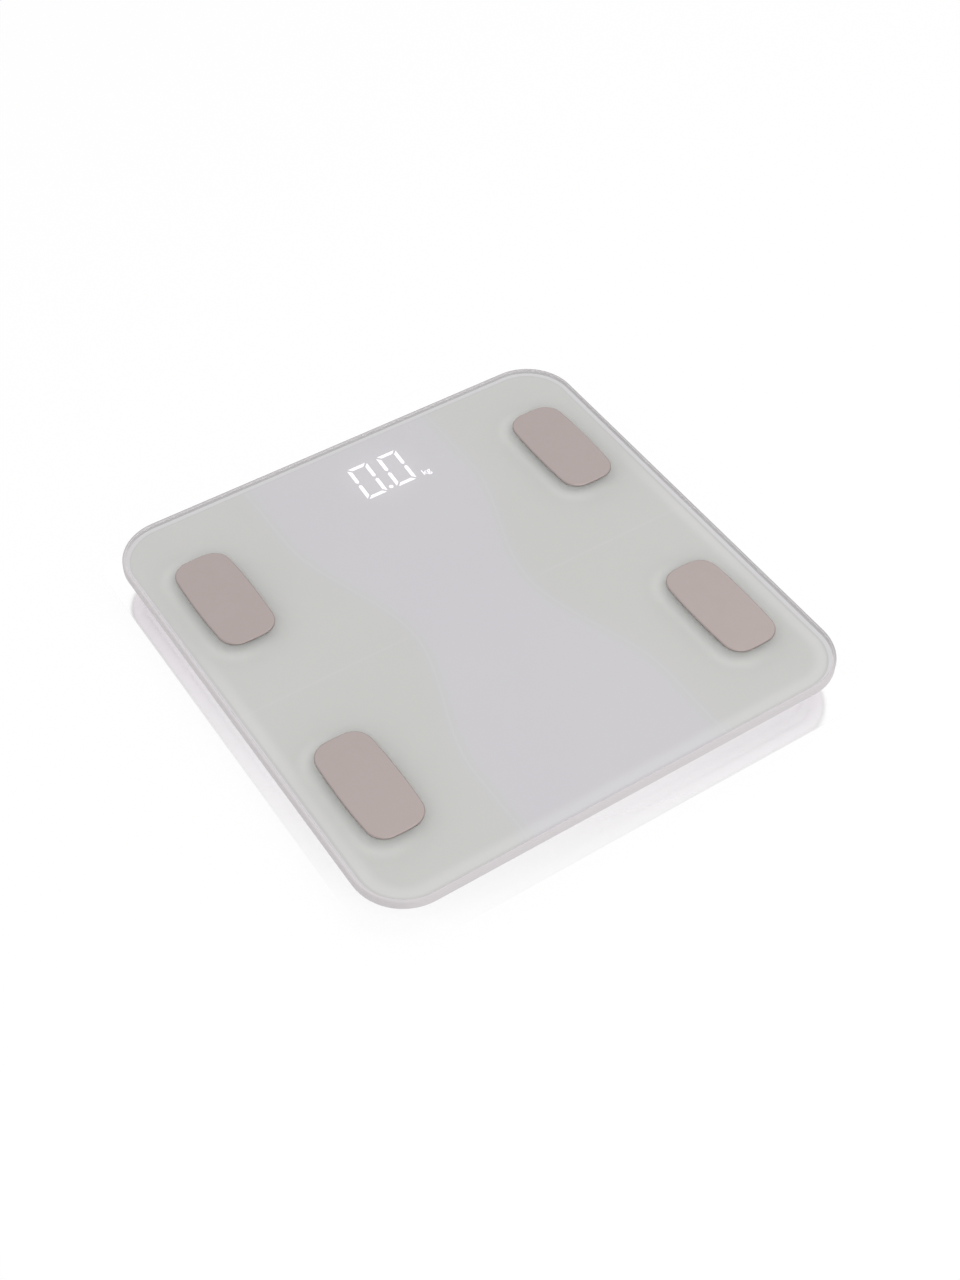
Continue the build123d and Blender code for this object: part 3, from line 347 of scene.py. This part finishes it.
# %% [markdown]
# ## Finishes
#
# Each slot of the record gets one material, named after it. Two small recipes cover most of them: a
# moulding with the grain of its mould, which with other numbers also makes rubber, foam and sleeves,
# and a metal with drawn lines. What is special about a piece, such as the colour zones of the ink
# film, is added after the recipe.


# %% Relief, wear, a second colour and places
finishes = {}


def relief(tree, height, strength, depth_mm):
    """A bump from a height, as a normal."""
    return add(tree, "Bump", {"Height": height, "Strength": strength, "Distance": depth_mm * MM}).outputs[0]


def dress(tree, shader, pattern, colour, contrast, gloss, marks_mm, strength, depth_mm):
    """Lays a pattern's tone and relief on a shader, with a slow change of gloss from handling."""
    worn = place(tree, marks, Size_mm=marks_mm, Low=gloss[0], High=gloss[1])
    darker = tuple(level * (1 - contrast) for level in colour[:3]) + (1.0,)
    tree.links.new(blend_colours(tree, pattern["Tone"], darker, colour), shader["Base Color"])
    tree.links.new(worn["Roughness"], shader["Roughness"])
    tree.links.new(relief(tree, pattern["Height"], strength, depth_mm), shader["Normal"])


def recolour(tree, shader, share, colour):
    """Lays another colour over what a material has, where share is 1."""
    before = shader["Base Color"].links[0].from_socket
    tree.links.new(blend_colours(tree, share, before, colour), shader["Base Color"])


def position_mm(tree):
    """The place on a piece, seen from above, in millimetres, as two outputs."""
    parts = coordinate(tree)
    return [calc(tree, "MULTIPLY", parts[axis], PER_METRE) for axis in "XY"]


print("helpers ready for finishes")


# %% Recipes for mouldings and metal
def moulded(name, colour, grain_mm=0.35, depth_mm=0.02, gloss=(0.42, 0.56), fleck=0.35, mottling=0.06):
    """Plastic or rubber with the grain of its mould, a slow change of gloss and a faint mottling."""
    material, tree, shader = finish_shader(name)
    fine = place(tree, grain, Size_mm=grain_mm, Fleck=fleck)
    dress(tree, shader, fine, colour, mottling, gloss, marks_mm=26.0, strength=0.5, depth_mm=depth_mm)
    finishes[name] = material
    return tree, shader


def metal(name, colour, lines_per_mm, length_mm, gloss):
    """Metal with drawn lines that change its tone a little."""
    material, tree, shader = finish_shader(name, Metallic=1.0)
    line = place(tree, drawn, Lines_per_mm=lines_per_mm, Length_mm=length_mm)
    dress(tree, shader, line, colour, 0.12, gloss, marks_mm=18.0, strength=0.4, depth_mm=0.004)
    finishes[name] = material


print("recipes ready")

# %% [markdown]
# ## Moulded plastics
#
# The tray, the feet and the holders are injection moulded in warm whites, and the button in grey. Their
# moulds are spark-eroded, which leaves a matt skin that hides scratches. Its pits are a few hundredths
# of a millimetre deep: cut into the mesh they would cost millions of faces, so they are a bump instead.
# The nylon plugs, the white reflector and the dark chips differ in colour and in how fine the grain is.

# %% Plastics
moulded("tray_plastic", shade(234, 229, 233), grain_mm=0.5, depth_mm=0.03, gloss=(0.46, 0.58))
moulded("foot_plastic", shade(226, 225, 223), grain_mm=0.4, depth_mm=0.02)
moulded("holder_plastic", shade(222, 222, 219), grain_mm=0.4, depth_mm=0.02)
moulded("button_plastic", shade(176, 177, 180), grain_mm=0.3, depth_mm=0.015, gloss=(0.38, 0.5))
moulded("reflector_white", shade(240, 240, 240), grain_mm=0.3, depth_mm=0.01)
moulded("connector_nylon", shade(236, 231, 216), grain_mm=0.3, depth_mm=0.01)
moulded("chip_black", shade(42, 42, 44), grain_mm=0.12, depth_mm=0.008, gloss=(0.5, 0.62))
moulded("switch_body", shade(52, 52, 55), grain_mm=0.15, depth_mm=0.008)
print(len(finishes), "plastics")

# %% [markdown]
# ## Rubber, foam and adhesive
#
# The foot pads are dark, dull rubber. The tape that bonds the tray to the glass is a foam, full of
# cells that are cut open at its edge, and the electrodes sit on a thin film of clear adhesive. All three
# could have recipes of their own, but what sets them apart is only how coarse the grain is, how much
# of it is round cells, and how far it is from glossy.

# %% Rubber, foam and adhesive
moulded("foot_rubber", shade(108, 109, 112), grain_mm=0.25, depth_mm=0.03, gloss=(0.72, 0.84),
        fleck=0.6, mottling=0.14)
moulded("foam_tape", shade(238, 238, 236), grain_mm=0.45, depth_mm=0.12, gloss=(0.85, 0.95),
        fleck=0.85, mottling=0.16)
moulded("clear_adhesive", shade(214, 213, 210), grain_mm=0.6, depth_mm=0.02, gloss=(0.3, 0.45))
print("rubber, foam and adhesive")

# %% [markdown]
# ## Bare metals
#
# The load cells are rolled spring steel, the battery contacts nickel-plated strip, and the screws drawn
# wire. Rolling and drawing leave fine lines in one direction, and these tell metal from grey plastic
# even where it reflects nothing but a white room. The numbers are lines in a millimetre, the length of
# a line, and the range of gloss.

# %% Metals
metal("spring_steel", (0.60, 0.61, 0.62, 1), 5.0, 9.0, (0.28, 0.4))
metal("nickel_strip", (0.66, 0.64, 0.60, 1), 6.0, 6.0, (0.2, 0.32))
metal("screw_steel", (0.60, 0.60, 0.60, 1), 8.0, 2.0, (0.26, 0.4))
print(len(finishes), "finishes so far")

# %% [markdown]
# ## The electrodes
#
# They are stainless steel with a rose-grey coating, blasted to a satin. The blasting leaves a fine
# tooth with no direction, over a hint of the sheet's rolling lines. Round the top runs a fine dark
# line of painted shade over the shoulder, and the side below it is painted darker, as shade.
# A second material on chosen faces would end at a hard edge, so the line and the side are masks, read
# from how far a surface is turned up.

# %% Rose-grey satin steel
material, tree, shader = finish_shader("electrode_steel", Metallic=1.0)
rolling = place(tree, drawn, Lines_per_mm=3.0, Length_mm=14.0)
tooth = place(tree, grain, Size_mm=0.22, Fleck=0.2)
dress(tree, shader, {"Tone": rolling["Tone"], "Height": tooth["Height"]}, (0.449, 0.388, 0.374, 1),
      0.035, (0.42, 0.5), marks_mm=18.0, strength=0.45, depth_mm=0.006)
upright = coordinate(tree, "Normal")["Z"]
# Painted shade: a fine dark line over the shoulder.
shoulder_shade = calc(tree, "MULTIPLY", ramp(tree, upright, 0.992, 0.965), ramp(tree, upright, 0.66, 0.76))
recolour(tree, shader, calc(tree, "MULTIPLY", shoulder_shade, 0.25), (0.14, 0.12, 0.10, 1))
# Painted shade: the side below the shoulder is darker.
recolour(tree, shader, ramp(tree, upright, 0.6, 0.45, 0.0, 0.18), (0.12, 0.10, 0.09, 1))
finishes["electrode_steel"] = material
print("electrode_steel has", len(tree.nodes), "nodes")

# %% [markdown]
# ## The glass
#
# The pane is clear and polished all round. A polished rim this thin gathers light from everywhere and
# reads as a pale, nearly even band, so it is painted as one: a little darker on its left side, as painted
# shade, and with a thin darker line of painted shade over its upper round at the rear and on the right.
# Left to itself, light that the pane bends on its way to the ink film arrives as noise. So it passes as
# if the pane were a plain tint, while everything that is seen through the pane is still bent by it.

# %% Clear glass, and where its rim is
material, tree, shader = finish_shader("clear_glass", Base_Color=(0.985, 0.992, 0.986, 1), Roughness=0.0,
                                       IOR=1.52, Transmission_Weight=1.0)
wiped = place(tree, marks, Size_mm=55.0, Low=0.0, High=0.018)
tree.links.new(wiped["Roughness"], shader["Roughness"])
facing = coordinate(tree, "Normal")
upright, edge_gap = facing["Z"], place(tree, outline_gap)["Gap mm"]
rim_share = 0.92
rim = calc(tree, "MAXIMUM", ramp(tree, calc(tree, "ABSOLUTE", upright), 0.25, 0.97, rim_share, 0.0),
           ramp(tree, edge_gap, -2.0, -1.4, 0.0, rim_share))
print("the rim's band hides the glass by", rim_share)

# %% The tones of the rim
x_mm, y_mm = position_mm(tree)
# Painted shade: the rim's left side is darker.
leftward = ramp(tree, facing["X"], -0.8, -0.2, 1.0, 0.0)
# Painted shade: a thin dark line over the upper round, at the rear and on the right.
upper_round = calc(tree, "MAXIMUM", ramp(tree, upright, 0.985, 0.94), ramp(tree, edge_gap, -1.45, -1.2))
upper_round = calc(tree, "MULTIPLY", upper_round, ramp(tree, upright, 0.3, 0.5))
rear_right = ramp(tree, calc(tree, "ADD", x_mm, y_mm), -30.0, 30.0)
far_shade_line = calc(tree, "MULTIPLY", upper_round, rear_right)
rim_tone = blend_colours(tree, leftward, shade(211, 207, 209), shade(203, 199, 201))
rim_tone = blend_colours(tree, far_shade_line, rim_tone, shade(178, 175, 177))
band = add(tree, "BsdfDiffuse", {"Color": rim_tone, "Roughness": 0.6}).outputs[0]
print("clear_glass has", len(tree.nodes), "nodes so far")

# %% Light that passes through the pane
output = tree.nodes["Material Output"].inputs["Surface"]
clear = output.links[0].from_socket
body = add(tree, "MixShader", {0: rim, 1: clear, 2: band}).outputs[0]
tint = add(tree, "BsdfTransparent", {"Color": (0.965, 0.975, 0.965, 1)}).outputs[0]
path = add(tree, "LightPath").outputs
passing = calc(tree, "MAXIMUM", path["Is Shadow Ray"], path["Is Diffuse Ray"])
tree.links.new(add(tree, "MixShader", {0: passing, 1: body, 2: tint}).outputs[0], output)
finishes["clear_glass"] = material
print("clear_glass")

# %% [markdown]
# ## The ink film behind the glass
#
# The print is pale grey. A clear conducting coating on top of the glass, in the shape of an hourglass
# between the electrodes, turns the middle a little lilac and leaves the sides a little green, with a
# thin pale line along its border and another across each side. Light that comes in through the
# polished rim brightens the print near it, most of all in front, and a pale band runs round the
# outside, beyond a thin darker line. Light that spreads in the pane also fills up the shadow that each
# electrode throws to its left. The lit readout gives the print round it a faint glow, in which one
# unlit point can be made out. All of these are distances from a line or a point, so they are worked
# out instead of painted.

# %% The two tones of the coating
material, tree, shader = finish_shader("white_ink", Roughness=0.9, Specular_IOR_Level=0.0)
x_mm, y_mm = position_mm(tree)
x_size, y_size = calc(tree, "ABSOLUTE", x_mm), calc(tree, "ABSOLUTE", y_mm)
waist_half, end_half, end_y, tone_blur = 35.5, 58.0, 90.0, 14.0
half_width = add(tree, "MapRange", {"Value": y_size, "From Min": 0.0, "From Max": end_y,
                                    "To Min": waist_half, "To Max": end_half},
                 interpolation_type="SMOOTHSTEP").outputs[0]
coating_gap = calc(tree, "SUBTRACT", x_size, half_width)
side_share = ramp(tree, coating_gap, -tone_blur, tone_blur)
middle, side = shade(198, 194.5, 199.5), shade(194.4, 193, 191.8)
tone = blend_colours(tree, side_share, middle, side)
print("the coating is", 2 * waist_half, "mm wide at its waist and", 2 * end_half, "mm at its ends")

# %% Its thin lines, and clouds in the print
border = ramp(tree, calc(tree, "ABSOLUTE", coating_gap), 0.1, 0.9, 1.0, 0.0)
split = calc(tree, "MULTIPLY", ramp(tree, y_size, 0.2, 1.0, 1.0, 0.0), side_share)
cloud = place(tree, marks, Size_mm=120.0)["Mask"]
for mask, share, colour in ((border, 0.22, shade(208, 205, 208)), (split, 0.2, shade(208, 204, 208)),
                            (cloud, 0.12, shade(204, 202, 202))):
    tone = blend_colours(tree, calc(tree, "MULTIPLY", mask, share), tone, colour)
print("two thin lines, and clouds 120 mm apart")

# %% The brighter stretch inside the rim, the outer band and the line between them
rim_gap = place(tree, outline_gap)["Gap mm"]
glow_in = calc(tree, "MULTIPLY", ramp(tree, rim_gap, -4.4, -5.6, 0.0, 1.0),
               ramp(tree, rim_gap, -14.0, -6.5, 0.0, 0.4))
glow_in = calc(tree, "MULTIPLY", glow_in, ramp(tree, y_mm, -20.0, 100.0, 1.0, 0.05))
outer_band = ramp(tree, rim_gap, -3.9, -3.5)
band_line = calc(tree, "MULTIPLY", ramp(tree, rim_gap, -4.6, -4.1),
                 ramp(tree, rim_gap, -3.8, -3.3, 1.0, 0.0))
tone = blend_colours(tree, glow_in, tone, shade(216, 214, 216))
tone = blend_colours(tree, outer_band, tone, shade(205, 202, 205))
tone = blend_colours(tree, calc(tree, "MULTIPLY", band_line, 0.25), tone, shade(180, 176, 180))
print("the print has", len(tree.nodes), "nodes so far")

# %% Shadows of the electrodes, filled up
electrode_corner = 10.5
pad_low, pad_high = (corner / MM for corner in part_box("electrode_rear_right"))
pad_centre, pad_half = (pad_low + pad_high) / 2, (pad_high - pad_low) / 2
pad_gap = place(tree, outline_gap, Centre_X_mm=pad_centre.x, Centre_Y_mm=pad_centre.y,
                Half_X_mm=pad_half.x, Half_Y_mm=pad_half.y, Corner_mm=electrode_corner)["Gap mm"]
nearest_pad_x = calc(tree, "MULTIPLY", calc(tree, "SIGN", x_mm), pad_centre.x)
from_pad = calc(tree, "SUBTRACT", x_mm, nearest_pad_x)
filled_up = calc(tree, "MULTIPLY", ramp(tree, pad_gap, 2.5, 10.5, 1.0, 0.0),
                 ramp(tree, from_pad, -14.0, 17.0, 1.0, 0.0))
tone = blend_colours(tree, filled_up, tone, shade(206, 205, 203.5))
print("each electrode is", [round(2 * half, 1) for half in pad_half[:2]], "mm")

# %% The readout's glow and an unlit point
def from_point(tree, x_mm, y_mm, centre, size=(1.0, 1.0)):
    """How far a place is from a centre, in sizes of an ellipse round it."""
    steps = [calc(tree, "SUBTRACT", value, middle) for value, middle in zip((x_mm, y_mm), centre)]
    return hypotenuse(tree, *(calc(tree, "DIVIDE", step, reach) for step, reach in zip(steps, size)))


halo_centre, halo_size, halo_strength = (12.0, 109.0), (26.0, 23.0), 0.035
spot_centre, spot_strength = (12.5, 119.9), 0.025
halo = ramp(tree, from_point(tree, x_mm, y_mm, halo_centre, halo_size), 0.35, 1.25, 1.0, 0.0)
# The unlit point shows as a small painted glow on the print.
unlit_point_glow = ramp(tree, from_point(tree, x_mm, y_mm, spot_centre), 0.7, 1.3, spot_strength, 0.0)
shine = calc(tree, "ADD", calc(tree, "MULTIPLY", halo, halo_strength), unlit_point_glow)
tree.links.new(shine, shader["Emission Strength"])
shader["Emission Color"].default_value = (1.0, 0.88, 1.0, 1)
print("the glow is", [2 * reach for reach in halo_size], "mm across")

# %% The film's underside is plain white
underside = calc(tree, "LESS_THAN", coordinate(tree, "Normal")["Z"], -0.5)
tone = blend_colours(tree, underside, tone, shade(232, 226, 231))
tree.links.new(tone, shader["Base Color"])
finishes["white_ink"] = material
print("white_ink has", len(tree.nodes), "nodes")

# %% [markdown]
# ## Finishes of the inner pieces
#
# The boards, cells and leads only show where the battery door is open, but each has its own finish all
# the same. Most start from the recipe for mouldings, and then take a second colour where a mask says.

# %% Diffuser and LEDs: a milky film, and lights that glow faintly behind it
moulded("diffuser_film", shade(240, 240, 242), grain_mm=0.2, depth_mm=0.01, gloss=(0.6, 0.7))
tree, shader = moulded("led_light", shade(244, 240, 250), grain_mm=0.1, depth_mm=0.002)
shader["Emission Color"].default_value = (0.93, 0.88, 1.0, 1)
shader["Emission Strength"].default_value = 1.2
print("diffuser and LEDs")

# %% [markdown]
# ## Leads, ribbon and cells
#
# The battery leads are a red and a black one, the load cells' sleeves are dark grey, and the two boards
# are joined by a flat white ribbon, in which the wires show as faint stripes. The cells wear a plain
# dark sleeve. Each of these is one solid or pair in the frame, so its second colour is a mask: by the
# side that it is on, by stripes, or by what faces along a cell or lies beyond its sleeve.

# %% Sleeves, stripes and bare ends
cell_sleeve_half = 22.3
tree, shader = moulded("red_lead", shade(176, 40, 34), grain_mm=0.8, depth_mm=0.004, gloss=(0.32, 0.42))
recolour(tree, shader, calc(tree, "LESS_THAN", position_mm(tree)[0], 0.0), shade(44, 44, 48))
moulded("sensor_lead", shade(66, 66, 72), grain_mm=0.8, depth_mm=0.006, gloss=(0.36, 0.48))
tree, shader = moulded("ribbon_white", shade(226, 226, 230), grain_mm=0.9, depth_mm=0.003,
                       gloss=(0.3, 0.4))
core = ramp(tree, calc(tree, "PINGPONG", position_mm(tree)[0], 0.5), 0.2, 0.3, 0.55, 0.0)
recolour(tree, shader, core, shade(176, 172, 164))
tree, shader = moulded("cell_sleeve", shade(58, 62, 72), grain_mm=1.5, depth_mm=0.002,
                       gloss=(0.2, 0.3), mottling=0.04)
endways = calc(tree, "ABSOLUTE", coordinate(tree, "Normal")["X"])
beyond_sleeve = calc(tree, "GREATER_THAN", calc(tree, "ABSOLUTE", position_mm(tree)[0]), cell_sleeve_half)
bare = calc(tree, "MAXIMUM", calc(tree, "GREATER_THAN", endways, 0.7), beyond_sleeve)
recolour(tree, shader, bare, (0.62, 0.62, 0.63, 1))
tree.links.new(bare, shader["Metallic"])
print("leads, ribbon and cells")

# %% [markdown]
# ## Boards and gauges
#
# A circuit board is green solder mask over copper tracks, with tinned pads where the mask is left open.
# A strain gauge is a film of amber plastic that carries a fine loop of foil. Drawing a real circuit
# would take days and nobody could read it at this size, so long bricks stand for the tracks, the
# middles of scattered cells for the pads, and plain stripes for the foil.

# %% Boards
tree, shader = moulded("board_green", shade(34, 98, 58), grain_mm=0.5, depth_mm=0.003,
                       gloss=(0.22, 0.3), mottling=0.1)
where = add(tree, "TexCoord").outputs["Object"]
tracks = add(tree, "TexBrick", {"Vector": where, "Scale": PER_METRE, "Mortar Size": 0.16,
                                "Mortar Smooth": 0.2, "Brick Width": 5.2, "Row Height": 1.3}, offset=0.35)
recolour(tree, shader, calc(tree, "MULTIPLY", tracks.outputs["Fac"], 0.5), shade(64, 134, 82))
pads = add(tree, "TexVoronoi", {"Vector": where, "Scale": 260.0, "Randomness": 0.75})
pad = calc(tree, "LESS_THAN", pads.outputs["Distance"], 0.13)
recolour(tree, shader, pad, (0.62, 0.60, 0.55, 1))
tree.links.new(calc(tree, "MULTIPLY", pad, 0.9), shader["Metallic"])
print("board_green has", len(tree.nodes), "nodes")

# %% Strain gauges
tree, shader = moulded("gauge_amber", shade(196, 140, 60), grain_mm=0.5, depth_mm=0.002, gloss=(0.2, 0.3))
foil = ramp(tree, calc(tree, "PINGPONG", position_mm(tree)[0], 0.35), 0.14, 0.2, 0.8, 0.0)
recolour(tree, shader, foil, shade(120, 84, 52))
print(len(finishes), "finishes")

# %% Every piece gets the finish of its slot
for part in frame["record"]["subparts"]:
    piece = frame["nodes"][part["node"]]
    finish = finishes[part["material_slot"]]
    for holder in piece.material_slots:
        holder.material = finish

# %% [markdown]
# ## Ink film and glass share a face
#
# The film is printed on the glass, so in the machined model its top and the underside of the pane lie
# in one plane. Two surfaces in one place fight over every ray. A gap of air would settle that, but it
# would also shine. So a modifier lifts the film by a fiftieth of a millimetre, into the pane, which is
# also how ink behaves: there is no air between the two.

# %% Lift the film into the glass
film = frame["nodes"]["print_film"]
film_lift = 0.02 * MM
lift = film.modifiers.new("wet_contact", "DISPLACE")
lift.direction, lift.mid_level, lift.strength = "Z", 0.0, film_lift

# %% [markdown]
# ## The readout
#
# Behind the film sit the bars of the display, which can only be seen while they are lit. At rest the
# scale shows two zeros with a point between them and the unit. A typeface has no such bars, so each one
# is a thin mesh with mitred ends, worked out from the digit's size. The unit is small and rounded, as
# print is, so it is text. All of it lies just above the film, and shines evenly, just past white.

# %% A material for lit figures
figure_glow = 1.12
glow_material, tree, shader = finish_shader("lit_figure", Base_Color=(0.08, 0.08, 0.08, 1), Roughness=0.9,
                                            Specular_IOR_Level=0.0, Emission_Strength=figure_glow,
                                            Emission_Color=(0.97, 0.93, 1.0, 1))
print("lit_figure shines at", figure_glow)

# %% The readout's sizes and places, in millimetres
digit_height, digit_width, bar_width, corner_gap, middle_gap = 25.7, 12.65, 2.1, 0.85, 0.6
slant = math.tan(math.radians(3.4))
units_x, digit_pitch, housing_edge_to_middle = 21.3, 18.6, 14.12
display_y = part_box("display_housing")[0].y / MM + housing_edge_to_middle
point_radius, point_rise = 1.25, 2.05
sign_x, sign_y, sign_size, sign_weight = 31.2, 95.5, 5.6, 0.08
print("the digits' middle is at", round(display_y, 2), "mm")

# %% Their heights, in metres: a thin plate just above the film
above_film = plate_thick = 0.03 * MM
readout_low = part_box("print_film")[1].z + above_film
readout_high = readout_low + plate_thick
print("the plates lie at", round(readout_low / MM, 3), "to", round(readout_high / MM, 3), "mm")


# %% A helper for plates
def slab(name, outlines):
    """Flat plates from outlines in millimetres, between the two readout heights."""
    made = bmesh.new()
    for points in outlines:
        for height, turn in ((readout_low, -1), (readout_high, 1)):
            made.faces.new([made.verts.new((x * MM, y * MM, height)) for x, y in points[::turn]])
        made.faces.ensure_lookup_table()
        low, high = made.faces[-2].verts[:][::-1], made.faces[-1].verts[:]
        for i in range(len(points)):
            j = (i + 1) % len(points)
            made.faces.new([low[i], low[j], high[j], high[i]])
    bmesh.ops.recalc_face_normals(made, faces=made.faces)
    mesh = bpy.data.meshes.new(name)
    made.to_mesh(mesh)
    made.free()
    piece = bpy.data.objects.new(name, mesh)
    mesh.materials.append(glow_material)
    scene.collection.objects.link(piece)
    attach(piece, "platform")


print("helper ready for plates")


# %% Outlines of a zero and a point
def zero(digit_x):
    """The six outer bars of a digit: mitred where they meet at a corner, pointed at the waist."""
    w, h, b, g, m = digit_width / 2, digit_height / 2, bar_width, corner_gap, middle_gap
    level = [(-w + g, h), (-w + b + g, h - b), (w - b - g, h - b), (w - g, h)]
    upright = [(w, h - g), (w - b, h - b - g), (w - b, m + b / 2), (w - b / 2, m), (w, m + b / 2)]
    bars = [[(x, up * y) for x, y in level] for up in (-1, 1)]
    bars += [[(out * x, up * y) for x, y in upright] for out in (-1, 1) for up in (-1, 1)]
    return [[(digit_x + x + y * slant, display_y + y) for x, y in points] for points in bars]


def round_spot(centre_x, centre_y, radius, corners=24):
    """A small disc as an outline."""
    return [(centre_x + radius * math.cos(2 * math.pi * i / corners),
             centre_y + radius * math.sin(2 * math.pi * i / corners)) for i in range(corners)]


print("a zero has", len(zero(0)), "bars")

# %% Two zeros and the point between them
units, tens = zero(units_x), zero(units_x - digit_pitch)
point_low = point_rise - digit_height / 2
point = round_spot(units_x - digit_pitch / 2 + point_low * slant, display_y + point_low, point_radius)
slab("readout_units", units)
slab("readout_tens", tens)
slab("readout_point", [point])
print("the readout has", len(units) + len(tens), "lit bars and a point")

# %% The unit sign
sign = bpy.data.curves.new("readout_unit_sign", "FONT")
sign.body, sign.size, sign.offset = "kg", sign_size * MM, sign_weight * MM
sign.extrude = plate_thick / 2
sign_piece = bpy.data.objects.new("readout_unit_sign", sign)
sign_piece.location = (sign_x * MM, sign_y * MM, readout_low + plate_thick / 2)
sign.materials.append(glow_material)
scene.collection.objects.link(sign_piece)
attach(sign_piece, "platform")
print("the sign says", sign.body)
